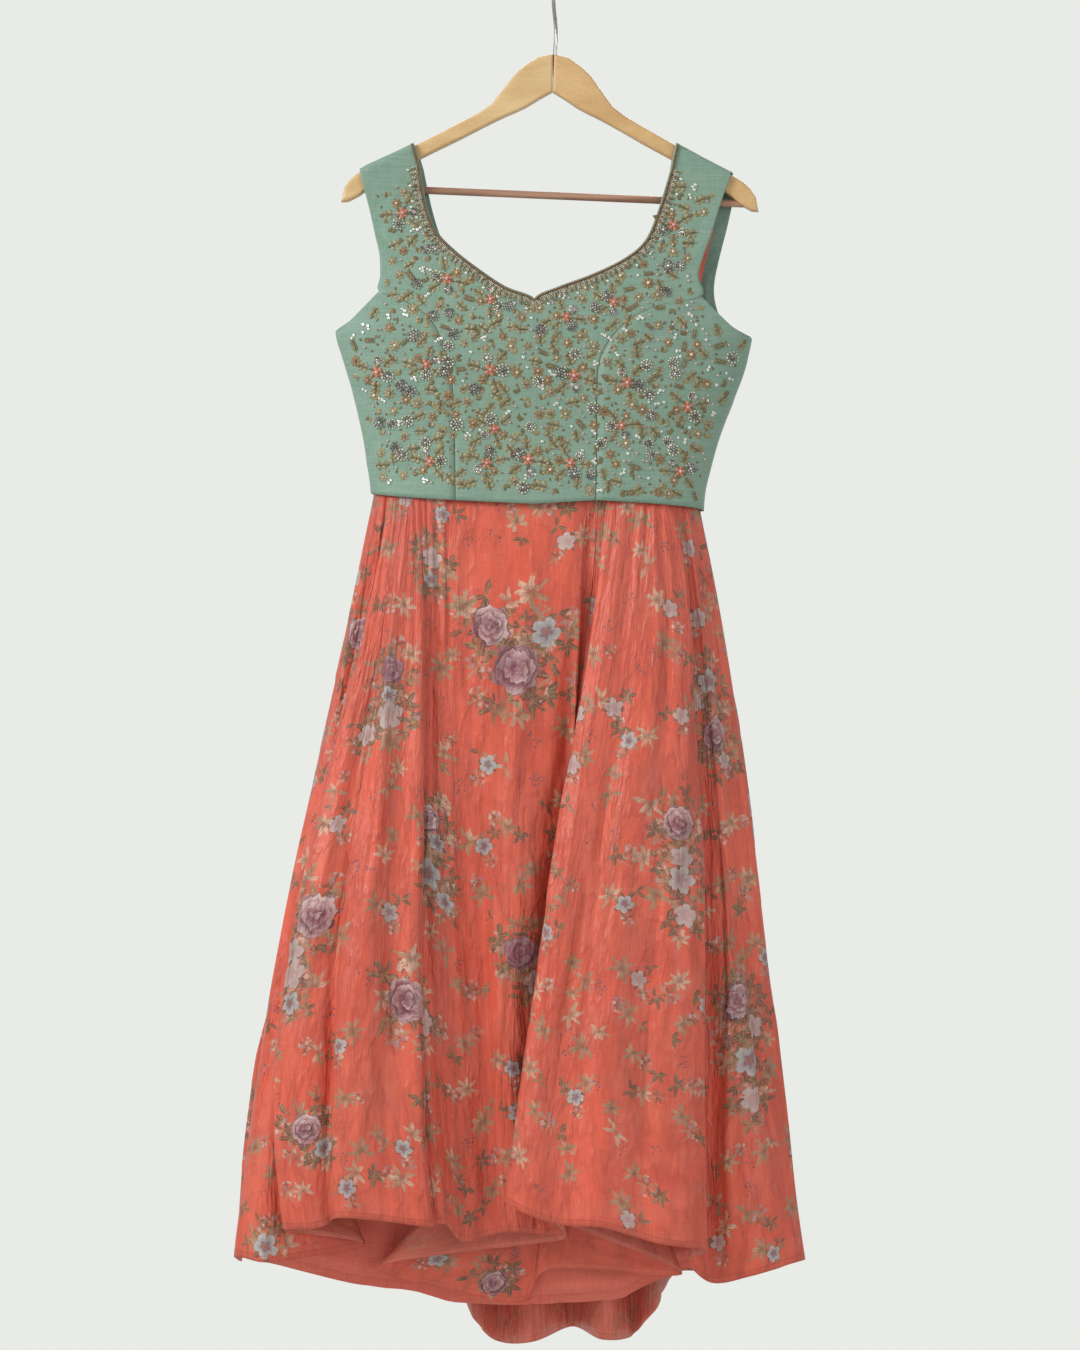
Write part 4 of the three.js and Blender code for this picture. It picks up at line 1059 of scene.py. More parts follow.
    def sprig(self):
        ink = self.ink
        mask, aside, along, own, rim = self.fan(7, self.seed * 5, 0.98, 0.17, 0.16)
        colour = ink.tints(self.seed * 0.6 + own * 0.4, (0.0, (228, 172, 144)),
                           (0.35, (226, 188, 158)), (0.5, (196, 156, 122)),
                           (0.7, (164, 142, 106)), (1.0, (220, 152, 128)))
        colour = ink.blend(aside.ramp(0.0, 0.12) * 0.4, colour, paint(150, 112, 86))
        colour = ink.blend(rim.ramp(0.045, 0.0) * 0.6, colour, paint(124, 84, 66))
        colour = ink.blend((0.022 - abs(aside)).ramp(0.0, 0.02) * 0.8, colour,
                           paint(118, 82, 64))
        colour = ink.blend(along.ramp(0.4, 0.02) * 0.6, colour, paint(104, 82, 60))
        return colour, mask

    def leaves(self):
        ink = self.ink
        mask, aside, along, own, _ = self.fan(6, self.seed * 5, 0.96, 0.19, 0.36)
        veins = abs((along * 7 - abs(aside) * 9).math("FRACT") - 0.5)
        colour = ink.tints(self.seed * 0.5 + own * 0.5, (0.0, (84, 76, 56)),
                           (0.35, (118, 108, 76)), (0.6, (102, 74, 58)), (0.8, (142, 130, 94)),
                           (1.0, (182, 140, 110)))
        colour = ink.blend(aside.ramp(-0.02, 0.06) * 0.5, colour, paint(72, 58, 48))
        colour = ink.blend((0.12 - veins).ramp(0.0, 0.1) * 0.35, colour, paint(186, 166, 126))
        colour = ink.blend((0.022 - abs(aside)).ramp(0.0, 0.02) * 0.8, colour,
                           paint(188, 168, 124))
        return colour, mask

    def cells(self, scale):
        """Cells of a flat pattern: distance, own shade, and the way round each middle."""
        place = self.ink.add("CombineXYZ", X=self.u, Y=self.v, Z=self.seed * 9)
        cell = self.ink.add("TexVoronoi", Vector=place, Scale=scale, Randomness=0.7)
        x, y, _ = parts(cell.also("Position"), "XYZ")
        turn = (self.v - y).math("ARCTAN2", self.u - x) / tau
        return cell.also("Distance"), parts(cell.also("Color"), "Color"), turn

    def small_flowers(self):
        ink = self.ink
        near, shade, turn = self.cells(1.95)
        petal = abs(((turn * 2.5 + shade[1]) * tau).math("SINE"))
        petals = ink.tints(near + (1 - petal) * 0.1, (0.0, (116, 70, 52)),
                           (0.1, (196, 146, 116)), (0.2, (226, 190, 166)),
                           (0.38, (206, 158, 148)), (0.5, (138, 96, 98)))
        petals = ink.blend(shade[0].ramp(0.5, 0.8) * 0.6, petals, paint(150, 110, 130))
        inside = (petal * 0.2 + 0.27 - near).ramp(0.0, 0.04) * (0.84 - self.far).ramp(0.0, 0.08)
        spray, _, _, own, _ = self.fan(7, self.seed * 3, 0.96, 0.13)
        green = ink.blend(own.ramp(0.3, 0.7), paint(112, 96, 70), paint(190, 144, 112))
        return ink.blend(inside, green, petals), inside.math("MAXIMUM", spray * 0.85)

    def berries(self):
        ink = self.ink
        near, shade, _ = self.cells(2.5)
        colour = ink.blend(shade[0].ramp(0.3, 0.7), paint(112, 70, 86), paint(108, 92, 112))
        colour = ink.blend((0.12 - near).ramp(0.0, 0.08) * 0.5, colour, paint(168, 138, 156))
        dots = (0.33 - near).ramp(0.0, 0.05) * (shade[0] > 0.3) * (0.92 - self.far).ramp(
            0.0, 0.05)
        stem = (0.07 - abs(self.wave(2.5, self.seed * 5)) * self.far).ramp(0.0, 0.04)
        stem = stem * (0.8 - self.far).ramp(0.0, 0.05)
        return ink.blend(dots, paint(120, 92, 62), colour), dots.math("MAXIMUM", stem * 0.8)


def parts(value, kind):
    """The three numbers of a colour or a place."""
    split = value.finish.add("Separate" + kind, **{"_0": value})
    return [split.also(k) for k in range(3)]


def ridges(ink, cloth, waves, sharp, **noise):
    """Narrow creases, 1 along their middle, for the bump and for painted shade; waves are counts
    to a metre, up and across.
    """
    swell = ink.noise(ink.stretch(cloth, (0.0, *waves)), 1.0, **noise)
    return (1 - abs(swell - 0.5) * sharp).math("MAXIMUM", 0.0)


def printed_silk(name, light, dark, strength, sheen):
    """Coral silk with the three layers of the print on it, and painted shade along its creases."""
    ink = Finish(name)
    cloth = ink.add("Attribute", pick="Vector", settings={"attribute_name": "cloth"})
    swirl = parts(ink.add("TexNoise", pick="Color", Vector=cloth, Scale=105.0, Detail=3.0),
                  "Color")
    wobble = [(value - 0.5) * 0.42 for value in swirl[:2]]
    level = ink.noise(ink.stretch(cloth, (0.0, 1300.0, 70.0)), 1.0, detail=3.0)
    upright = ink.noise(ink.stretch(cloth, (0.0, 55.0, 1300.0)), 1.0, detail=3.0)
    threads = level * 0.45 + upright * 0.55
    cloudy = ink.noise(cloth, 11.0, detail=4.0)
    crush_creases_and_shade = ridges(ink, cloth, (3.4, 20.0), 9, detail=4.0, roughness=0.6)
    rumple_creases_and_shade = ridges(ink, cloth, (15.0, 34.0), 13, detail=3.0, roughness=0.55)
    colour = ink.blend(threads.ramp(0.3, 0.7), paint(*dark), paint(*light))
    colour = ink.blend(cloudy.ramp(0.35, 0.8) * 0.4, colour, paint(228, 124, 100))
    worn = (cloudy * 0.2 + threads * 0.35 + 0.72) * strength
    for layer, first, second in (("small", "small_flowers", "berries"),
                                 ("leaf", "sprig", "leaves"),
                                 ("bloom", "rose", "open_flower")):
        motif = Motif(ink, layer, wobble)
        tint_a, mask_a = getattr(motif, first)()
        tint_b, mask_b = getattr(motif, second)()
        tint = ink.blend(motif.second, tint_a, tint_b)
        mask = mask_a + (mask_b - mask_a) * motif.second
        if layer == "bloom":
            tint, mask = motif.backed(tint, mask)
        colour = ink.blend((mask * worn).math("MINIMUM", 1.0), colour, tint)
    edge = parts(cloth, "XYZ")[1]
    stitch = (0.0009 - abs(edge - 0.0062)).ramp(0.0, 0.0006)
    colour = ink.blend(stitch * 0.35, colour, paint(164, 66, 50))
    # Painted shade: the coral is darkened along the crush and rumple creases, which also raise the
    # bump below.
    colour = ink.blend(crush_creases_and_shade ** 2.0 * 0.26, colour, paint(120, 44, 36))
    colour = ink.blend(rumple_creases_and_shade ** 2.0 * 0.16, colour, paint(130, 50, 40))
    crinkle = ink.bump(ink.noise(ink.stretch(cloth, (0.0, 24.0, 46.0)), 1.0, detail=5.0,
                                 roughness=0.6), 0.0032, 0.5)
    crinkle = ink.bump(crush_creases_and_shade, 0.0025, 0.5, under=crinkle)
    crinkle = ink.bump(rumple_creases_and_shade, 0.0012, 0.5, under=crinkle)
    normal = ink.bump(threads, 0.0003, 0.6, under=crinkle)
    return ink.coat(colour, Roughness=threads.ramp(0.2, 0.8) * 0.18 + 0.34, Normal=normal,
                    Sheen_Weight=sheen, Sheen_Roughness=0.35, Specular_IOR_Level=0.45)


PRINTED = printed_silk("printed silk", (234, 106, 82), (216, 88, 66), 0.9, 0.25)
PRINTED_WRONG_SIDE = printed_silk("printed silk wrong side", (228, 120, 98), (212, 104, 84),
                                  0.38, 0.1)
shell("skirt_front_cloth", [front_skirt], "printed_silk", [PRINTED, PRINTED_WRONG_SIDE],
      notes=front_print.notes())
shell("skirt_back_cloth", [back_skirt], "printed_silk", [PRINTED, PRINTED_WRONG_SIDE],
      notes=back_print.notes())


# %% Lining and waistband
def ring(size, z, columns):
    """One level line round a flattened tube; it starts at the left and runs by the front."""
    middle, half = 0.5 * (size["back"] - size["front"]), 0.5 * (size["front"] + size["back"])
    turn = pi - tau * np.arange(columns) / columns
    x = mix(size["left"], size["right"], 0.5 * (1 + np.cos(turn)))
    y = middle - np.sign(np.sin(turn)) * half * oval(np.cos(turn))
    height = z(x, turn > 0) if callable(z) else z + 0 * x
    return np.stack([x, y, height], -1)


LINING_HEM = table(
    "x z", (-333, -1365), (-278, -1380), (-208, -1397), (-145, -1404), (-110, -1416),
    (-35, -1419), (72, -1413), (98, -1398), (146, -1379), (259, -1365))
LINING_RINGS = table(
    "s left right front back", (0, -186, 152.5, 30, 27), (1 / 3, -238, 192, 16, 22),
    (2 / 3, -288, 221, 6, 18), (1, -320, 252, -1, 15))


def lining_sheet(rows=56, columns=176):
    rings = []
    for s in np.linspace(1, 0, rows):
        size = {name: np.interp(s, LINING_RINGS["s"], LINING_RINGS[name])
                for name in ("left", "right", "front", "back")}
        rings.append(ring(size, lambda x, in_front, s=s: mix(
            np.interp(x, TOP_HEM["x"], TOP_HEM["z"]) - SEAT,
            np.interp(x, LINING_HEM["x"], LINING_HEM["z"]) + 12 * in_front, s), columns))
    rings.append(ring({"left": -182, "right": 148, "front": 28, "back": 26}, WAIST - 6, columns))
    sheet = np.array(rings)
    ripple = np.sin(sheet[..., 0] * 0.11 + 1.7 * np.sin(sheet[..., 0] * 0.037))
    fall = np.linspace(1, 0, rows + 1)[:, None] ** 1.4
    sheet[..., 1] += 2.2 * fall * ripple
    return sheet


shell("skirt_lining_cloth", [lining_sheet()], "coral_lining", [LINING_SILK], wrap=True)
band = np.array([ring(WAIST_OVAL, WAIST + height, 120)
                 for height in np.linspace(0, BAND_HEIGHT, 9)])
shell("waistband_cloth", [band], "coral_silk", [LINING_SILK], wrap=True, thin=1.6)

# %% [markdown]
# ## Back lining, loops and piping
# The back is lined in coral, set in from the edges and seen only through the armholes. Two ribbon
# loops carry the skirt's waistband on the hanger. The neck is finished with a cord of two
# strands, twisted round each other and laid just inside the edge.

# %% Lining of the back
FACING = 14  # how far in from the armhole and up from the hem the lining starts
SIDE_INSET = 4  # from the side seams
NECK_SHARE = 0.7  # of the facing, at the neck
LINING_ROOM = 1.3  # between the inside of the top and the lining


def lining_lines(lines):
    """The back's cross lines, set in from the armhole, the neck and the hem."""
    sign = np.sign(lines["outer_x"][0])
    k = np.arange(len(lines["outer_x"]) - 1)
    at_neck = lines["inner_x"][k] != lines["inner_x"][0]
    return {
        "outer_x": lines["outer_x"][k] - sign * np.where(k < ARMHOLE_FROM, SIDE_INSET, FACING),
        "outer_z": lines["outer_z"][k] + FACING * (k == 0),
        "inner_x": lines["inner_x"][k] + sign * FACING * NECK_SHARE * at_neck,
        "inner_z": (lines["inner_z"][k] + FACING * (k == 0)
                    - NECK_SHARE * FACING * (k == NECK_FROM))}


def lining_half(lines, flip):
    half = panel(lining_lines(lines), front=False, columns=30, each=5)
    half = mirrored(half) if flip else half
    return half - level_way_out(half) * (SILK + GAP + LINING_ROOM)


shell("back_lining_cloth", [lining_half(BACK_RIGHT, False), lining_half(BACK_LEFT, True)],
      "coral_lining", [LINING_SILK])


# %% Ribbon loops
SEWN_FROM, SEWN_TO = WAIST + 8, WAIST + 24  # where the ribbons are sewn to the waistband


def ribbon(arm_x, band_x, half=4.0, wall=1.0):
    """A ribbon from the front of the waistband over the arm and down to the back."""
    reach = ARM_ROUND + GAP + wall + 0.15
    flat = ARM_DEPTH / 2 - ARM_ROUND
    edges = arm_top(np.array([arm_x - half, arm_x, arm_x + half]))
    slope, top = (edges[2] - edges[0]) / (2 * half), edges[1] - ARM_ROUND
    outer = band_x + half * np.sign(band_x)
    inside = {name: stand_at(WAIST_OVAL, outer, WAIST_OVAL[name]) - BAND_WALL - GAP - 0.3
              for name in ("front", "back")}
    under = 4.0 + GAP + wall + 0.3
    low = mix(arm_x, band_x, 0.45)
    path = [(band_x, -inside["front"], SEWN_FROM), (band_x, -inside["front"], SEWN_TO),
            (low, -under, -330), (mix(arm_x, band_x, 0.1), -under, top - 34),
            (arm_x, -(flat + reach), top - 17)]
    for tip in range(0, 181, 10):
        side = -1 if tip < 90 else 1
        path.append((arm_x, side * flat - cos(radians(tip)) * reach,
                     top + sin(radians(tip)) * reach))
    path += [(x, -y, z) for x, y, z in path[4:0:-1]]
    path[-1] = (band_x, inside["back"], SEWN_TO)
    path.append((band_x, inside["back"], SEWN_FROM))
    path = np.array(path)
    across = np.array([-half, -half / 2, 0, half / 2, half])
    strip = np.repeat(path[:, None], len(across), 1)
    strip[..., 0] += across
    strip[..., 2] += slope * across * (path[:, :1] == arm_x)
    return strip


for name, arm_x, band_x in (("loop_left", -163, -150), ("loop_right", 149, 122)):
    piece = shell(name + "_ribbon", [ribbon(arm_x, band_x)], "coral_silk", [LINING_SILK])
    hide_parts(name)


# %% [markdown]
# ## Finding places on the top
# Everything that is sewn on needs its place on the cloth and the three ways there: across, up
# and out. They are worked out from the same rule that shaped the panels.

# %% Places and ways on the front
def on_front(x, z, lift=0.0):
    """Points on the creased front with the ways across, up and out of the cloth."""
    turn, step = turn_at(x, z, True), 0.004
    across = body(turn - step, z) - body(turn + step, z)
    up = body(turn, z + 1) - body(turn, z - 1)
    across, out = unit(across), unit(np.cross(across, up))
    height = crease_height(x, z, FRONT_CREASES) + lift
    return body(turn, z) + out * np.expand_dims(height, -1), across, np.cross(out, across), out


def neck_line(inset, step=0.02):
    """Places along the neck edge from the left shoulder over its point to the right one."""
    line = []
    for lines, side in ((FRONT_LEFT, -1), (FRONT_RIGHT, 1)):
        t = np.arange(NECK_FROM, len(lines["inner_x"]) - 1 + 1e-9, step)
        edge = np.stack([through(lines["inner_x"], t), through(lines["inner_z"], t)], -1)
        along = np.gradient(edge, axis=0)
        away = unit(np.stack([-along[:, 1], along[:, 0]], -1) * -side)
        away[0] = (0, -1)
        place = edge + away * inset
        line.append(place[::-1] if side < 0 else place[1:])
    line = np.concatenate(line)
    keep = np.ones(len(line), bool)
    keep[1:] = np.linalg.norm(np.diff(line, axis=0), axis=-1) > 1e-4
    return line[keep]


def run_of(line):
    """How far along a line each of its points lies."""
    return np.concatenate([[0], np.cumsum(np.linalg.norm(np.diff(line, axis=0), axis=-1))])


def along_line(line, run, places):
    """The points that lie at some distances along a line."""
    return np.stack([np.interp(places, run, column) for column in line.T], -1)


def spaced(line, gap):
    """Places at even distances along a line, with the way along it."""
    run = run_of(line)
    places = np.arange(gap / 2, run[-1], gap)
    along = along_line(line, run, places + 1) - along_line(line, run, places - 1)
    return along_line(line, run, places), unit(along)


# %% Twisted piping
CORD_INSET, CORD_LIFT = 2.4, 1.2  # from the neck edge and off the cloth, to the cord's middle


def cord_path():
    """The middle line of the neck cord and the way out of the cloth along it."""
    seat = neck_line(CORD_INSET)
    points, _, _, outs = on_front(seat[:, 0], seat[:, 1], CORD_LIFT)
    ends = []
    for lines, shoulder, sign in ((FRONT_LEFT, SHOULDER_LEFT, -1),
                                  (FRONT_RIGHT, SHOULDER_RIGHT, 1)):
        for tip, below in ((0, 6), (0, 2), (15, 0), (30, 0), (45, 0)):
            x = mix(lines["inner_x"][-1], shoulder[1], lean(tip, below)) + CORD_INSET * sign
            out = np.array([0, -cos(radians(tip)), sin(radians(tip))])
            spot = strap_row(np.array([x]), tip, below, True)[0]
            ends.append((spot + CORD_LIFT * out, out))
    half = len(ends) // 2
    left, right = ends[:half][::-1], ends[half:]
    return (np.array([p for p, _ in left] + list(points) + [p for p, _ in right]),
            np.array([o for _, o in left] + list(outs) + [o for _, o in right]))


def twisted_cord(name, path, outs, strand, lay, sides=7):
    """Two strands that wind round one line, lay millimetres to a turn."""
    run = run_of(path)
    places = np.arange(0, run[-1], lay / 9)
    line, out = (along_line(of, run, places) for of in (path, outs))
    along = unit(np.gradient(line, axis=0))
    side = unit(np.cross(along, out))
    out = np.cross(side, along)
    ring_turn = tau * np.arange(sides) / sides
    points, faces = [], []
    for half_turn in (0, pi):
        wind = tau * places / lay + half_turn
        core = line + strand * 0.92 * (out * np.cos(wind)[:, None] + side * np.sin(wind)[:, None])
        tube = core[:, None] + strand * (
            out[:, None] * np.cos(ring_turn)[None, :, None]
            + side[:, None] * np.sin(ring_turn)[None, :, None])
        start = sum(len(block) for block in points)
        block = grid_faces(len(places), sides, start, wrap=True)
        faces += block[:, ::-1].tolist()
        faces.append(list(range(start, start + sides)))
        faces.append(list(range(start + (len(places) - 1) * sides,
                                start + len(places) * sides))[::-1])
        points.append(tube.reshape(-1, 3))
    mesh = bpy.data.meshes.new(name)
    mesh.from_pydata((np.concatenate(points) * MM).tolist(), [], faces)
    mesh.shade_smooth()
    print(name, "is", round(float(run[-1])), "mm long")
    return mesh


def metal_thread(name, light, dark, roughness, metal=0.7):
    """Wound metal thread: fine rings of light and dark over a broader wear."""
    thread = Finish(name)
    place = thread.object_place()
    rings = thread.noise(place, 1800.0, detail=1.0)
    worn = thread.noise(place, 160.0, detail=2.0)
    colour = thread.blend(rings.ramp(0.35, 0.65), paint(*dark), paint(*light))
    colour = thread.blend(worn.ramp(0.4, 0.8) * 0.5, colour, paint(*dark))
    return thread.coat(colour, Metallic=metal, Roughness=worn * 0.2 + roughness,
                       Normal=thread.bump(rings, 0.0002, 0.6))


BRONZE = metal_thread("bronze cord", (176, 148, 116), (112, 86, 62), 0.3)
neck_cord = add_piece(
    "neck_cord", twisted_cord("neck_cord", *cord_path(), strand=0.75, lay=5.5), "bronze_cord",
    BRONZE)
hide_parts("neck_piping")

# %% [markdown]
# ## Hand embroidery
# The front carries small sprigs in olive and gold thread, clusters of smoky and silver beads,
# coral flowers over olive leaves with a pink bead in the middle, amber leaves and pearly
# sequins. A narrow band of four rows of beads follows the neck, with short leaves that stand on
# it. Every part is a tiny mesh, and all the beads join into one piece and all the rest into
# another, because thousands of separate objects would be slow.

# %% Tiny shapes
def lathe(profile, sides):
    """A round shape from (radius, height) pairs, standing on the cloth."""
    turn = tau * np.arange(sides) / sides
    rings = [np.stack([r * np.cos(turn), r * np.sin(turn), h + 0 * turn], -1)
             for r, h in profile]
    return np.concatenate(rings), grid_faces(len(profile), sides, wrap=True).tolist()


def petal(length, width, height, steps=6):
    """A pointed leaf with a raised middle, along the way up."""
    t = np.linspace(0, 1, steps + 1)
    wide = width / 2 * np.sin(pi * t ** 0.8)
    rise = height * np.sin(pi * np.clip(t, 0.06, 0.94))
    rows = [np.stack([side * wide, t * length, lift * rise], -1)
            for side, lift in ((-1, 0.1), (-0.45, 0.85), (0, 1), (0.45, 0.85), (1, 0.1))]
    points = np.stack(rows, 1).reshape(-1, 3)
    return points, grid_faces(steps + 1, 5).tolist()


def coil(length, radius, rings, sides=6):
    """A short piece of wound wire, along the way up, on the cloth."""
    t = np.linspace(0, 1, rings * 2 + 1)
    swell = radius * (0.78 + 0.22 * np.cos(tau * rings * t))
    swell *= np.sin(pi * np.clip(t, 0.04, 0.96)) ** 0.3
    turn = tau * np.arange(sides) / sides
    tube = np.stack([swell[:, None] * np.cos(turn),
                     t[:, None] * length + 0 * turn,
                     radius + swell[:, None] * np.sin(turn)], -1)
    return tube.reshape(-1, 3), grid_faces(len(t), sides, wrap=True)[:, ::-1].tolist()


SHAPES = {
    "bead": lathe(((0.6, 0.0), (1.0, 0.7), (0.75, 1.4), (0.02, 1.62)), 7),
    "sequin": lathe(((0.2, 0.16), (0.55, 0.1), (1.0, 0.42), (0.5, 0.0)), 9),
    "leaf": petal(1.0, 0.5, 0.14, 5),
    "petal": petal(1.0, 0.85, 0.18, 5),
    "stroke": coil(1.0, 0.13, 4),
    "stem": coil(1.0, 0.06, 2, 5),
}
print({name: len(points) for name, (points, _) in SHAPES.items()})


# %% Finishes of beads and threads
def bead_glass(name, light, dark, metal, roughness):
    """Small glass or foiled beads, no two of quite the same shade."""
    glass = Finish(name)
    place = glass.object_place()
    shade = glass.noise(place, 210.0, detail=1.0)
    fine = glass.noise(place, 900.0, detail=2.0)
    colour = glass.blend(shade.ramp(0.35, 0.65), paint(*dark), paint(*light))
    return glass.coat(colour, Metallic=metal, Roughness=fine * 0.2 + roughness,
                      Coat_Weight=0.3, Normal=glass.bump(fine, 0.0001, 0.5))


SEWN = {
    "gold": metal_thread("gold thread", (190, 178, 136), (106, 96, 66), 0.38, 0.2),
    "olive": metal_thread("olive thread", (150, 140, 100), (84, 76, 50), 0.42, 0.2),
    "amber": metal_thread("amber thread", (180, 148, 102), (114, 90, 58), 0.4, 0.2),
    "coral": metal_thread("coral thread", (228, 152, 124), (192, 108, 84), 0.5, 0.05),
    "smoke": bead_glass("smoky beads", (202, 190, 180), (112, 98, 96), 0.2, 0.14),
    "silver": bead_glass("silver beads", (240, 232, 212), (198, 184, 156), 0.2, 0.16),
    "pink": bead_glass("pink beads", (236, 196, 192), (208, 156, 158), 0.1, 0.15),
    "pearl": bead_glass("pearly sequins", (255, 252, 244), (236, 230, 216), 0.3, 0.1),
}
BEADS = ("pearl", "pink", "silver", "smoke")


class Needlework:
    """Parts to be sewn on: shape, finish, place, turn and size, joined at the end."""

    def __init__(self, seed):
        self.parts = []
        self.rng = np.random.default_rng(seed)

    def sew(self, shape, finish, x, z, turn=0.0, size=1.0, wide=1.0, lift=0.0):
        self.parts.append((shape, finish, x, z, turn, size, wide, lift))

    def rosette(self, x, z, shape, finish, count, size, turn=0.0, wide=1.0):
        for k in range(count):
            self.sew(shape, finish, x, z, turn + tau * k / count, size, wide)

    def sprig(self, x, z, turn, size):
        """Leaves up both sides of a wound stem and one at the tip."""
        self.sew("stem", "olive", x, z, turn, size * 0.8, 1.3)
        for along, length, bend in ((0.56, 0.52, 0.0), (0.44, 0.5, 0.8), (0.44, 0.5, -0.8),
                                    (0.16, 0.46, 1.2), (0.16, 0.46, -1.2)):
            self.sew("leaf", "gold" if bend else "olive", x - sin(turn) * size * along,
                     z + cos(turn) * size * along, turn + bend, size * length, 1.3)
        self.sew("bead", "smoke", x, z, 0, 0.9)

    def daisy(self, x, z, size, finish="gold"):
        count = 6 + int(self.rng.integers(3))
        self.rosette(x, z, "leaf", finish, count, size * 0.5, self.rng.uniform(0, 1), 1.2)
        self.sew("bead", "silver" if self.rng.random() < 0.4 else "smoke", x, z, 0,
                 size * 0.13)

    def ring(self, x, z, radius, count, finish, size):
        """Beads side by side round a place."""
        start = self.rng.uniform(0, 1)
        for k in range(count):
            turn = start + tau * k / count
            self.sew("bead", finish, x + radius * cos(turn), z + radius * sin(turn), 0,
                     size * self.rng.uniform(0.9, 1.1))

    def bead_cluster(self, x, z, size):
        self.sew("bead", "pearl" if self.rng.random() < 0.4 else "smoke", x, z, 0, size * 0.13)
        self.ring(x, z, size * 0.27, 6, "smoke", size * 0.12)
        self.ring(x, z, size * 0.5, 10, "silver" if self.rng.random() < 0.5 else "smoke",
                  size * 0.11)

    def coral_flower(self, x, z, size):
        """Coral petals over olive leaves with a pink bead, and sprigs, beads, a daisy and
        sequins round them."""
        turn = self.rng.uniform(0, tau)
        self.rosette(x, z, "leaf", "olive", 5, size * 0.56, turn + tau / 10, 1.0)
        self.rosette(x, z, "petal", "coral", 5, size * 0.42, turn, 1.0)
        self.rosette(x, z, "leaf", "amber", 5, size * 0.28, turn + 0.6, 0.8)
        self.sew("bead", "pink", x, z, 0, size * 0.12, lift=0.5)
        for k, near in enumerate(("cluster", "sprig", "sequins", "sprig", "daisy", "sprig")):
            around = turn + tau * k / 6 + self.rng.uniform(-0.2, 0.2)
            px, pz = x - sin(around) * size * 0.72, z + cos(around) * size * 0.72
            if edge_room(px, pz) < 9:
                continue
            if near == "cluster":
                self.bead_cluster(px, pz, size * 0.68)
            elif near == "daisy":
                self.daisy(px, pz, size * 0.75, "amber")
            elif near == "sprig":
                self.sprig(px + sin(around) * 3, pz - cos(around) * 3, around, size * 0.85)
            else:
                self.sequins(px, pz, 3)
                self.bead_cluster(px, pz, size * 0.5)

    def amber_leaf(self, x, z, turn, size):
        for k in range(4):
            along = size * (0.22 * k - 0.35)
            for bend in (-0.7, 0.7):
                self.sew("stroke", "amber", x - sin(turn) * along, z + cos(turn) * along,
                         turn + bend, size * 0.34, 1.3)
        self.sew("stem", "gold", x + sin(turn) * size * 0.45, z - cos(turn) * size * 0.45, turn,
                 size, 1.0)

    def sequins(self, x, z, count):
        for _ in range(count):
            self.sew("sequin", "pearl", x, z, 0, self.rng.uniform(1.3, 1.9), lift=0.4)
            turn = self.rng.uniform(0, tau)
            x, z = x + 3.4 * cos(turn), z + 3.4 * sin(turn)

    def join(self, name, slot, beads):
        """One mesh of all the beads, or of all the rest, each part standing on the cloth."""
        chosen = [part for part in self.parts if (part[1] in BEADS) == beads]
        finishes = sorted({part[1] for part in chosen})
        x, z, turn, size, wide, lift = np.array([part[2:] for part in chosen]).T
        place, across, up, out = on_front(x, z)
        place = place + out * lift[:, None]
        right = across * np.cos(turn)[:, None] + up * np.sin(turn)[:, None]
        ahead = up * np.cos(turn)[:, None] - across * np.sin(turn)[:, None]
        points, faces, tints, start = [], [], [], 0
        for k, (shape, finish, *_) in enumerate(chosen):
            shape_points, shape_faces = SHAPES[shape]
            ways = np.stack([right[k] * wide[k], ahead[k], out[k]]) * size[k]
            points.append(place[k] + shape_points @ ways)
            faces += [[start + corner for corner in face] for face in shape_faces]
            tints += [finishes.index(finish)] * len(shape_faces)
            start += len(shape_points)
        mesh = bpy.data.meshes.new(name)
        mesh.from_pydata((np.concatenate(points) * MM).tolist(), [], faces)
        mesh.shade_smooth()
        piece = add_piece(name, mesh, slot, *(SEWN[finish] for finish in finishes))
        mesh.polygons.foreach_set("material_index", tints)
        print(f"{name}: {len(chosen)} parts, {2 * len(faces)} triangles")
        return piece


# %% Room for the embroidery
def front_outline():
    """The front's edge as one closed line of places."""
    def edge(lines, end, start):
        return np.stack([lines[f"{end}_x"], lines[f"{end}_z"]], -1)[start:]

    return np.concatenate([
        np.stack([SIDE_LEFT["x"], SIDE_LEFT["z"]], -1),
        edge(FRONT_LEFT, "outer", SEAM_ROWS), edge(FRONT_LEFT, "inner", NECK_FROM)[::-1],
        edge(FRONT_RIGHT, "inner", NECK_FROM + 1), edge(FRONT_RIGHT, "outer", SEAM_ROWS)[::-1],
        np.stack([SIDE_RIGHT["x"], SIDE_RIGHT["z"]], -1)[::-1]])


OUTLINE = front_outline()


def edge_room(x, z):
    """How far inside the front's edge a place is, less than 0 outside it."""
    a, b = OUTLINE, np.roll(OUTLINE, -1, axis=0)
    way = b - a
    share = np.clip(((x - a[:, 0]) * way[:, 0] + (z - a[:, 1]) * way[:, 1])
                    / np.sum(way * way, -1), 0, 1)
    far = np.hypot(a[:, 0] + share * way[:, 0] - x, a[:, 1] + share * way[:, 1] - z).min()
    crosses = (a[:, 1] > z) != (b[:, 1] > z)
    slope = way[:, 0] / np.where(way[:, 1] == 0, 1e-9, way[:, 1])
    inside = np.sum(crosses & (x < a[:, 0] + slope * (z - a[:, 1]))) % 2
    return far if inside else -far


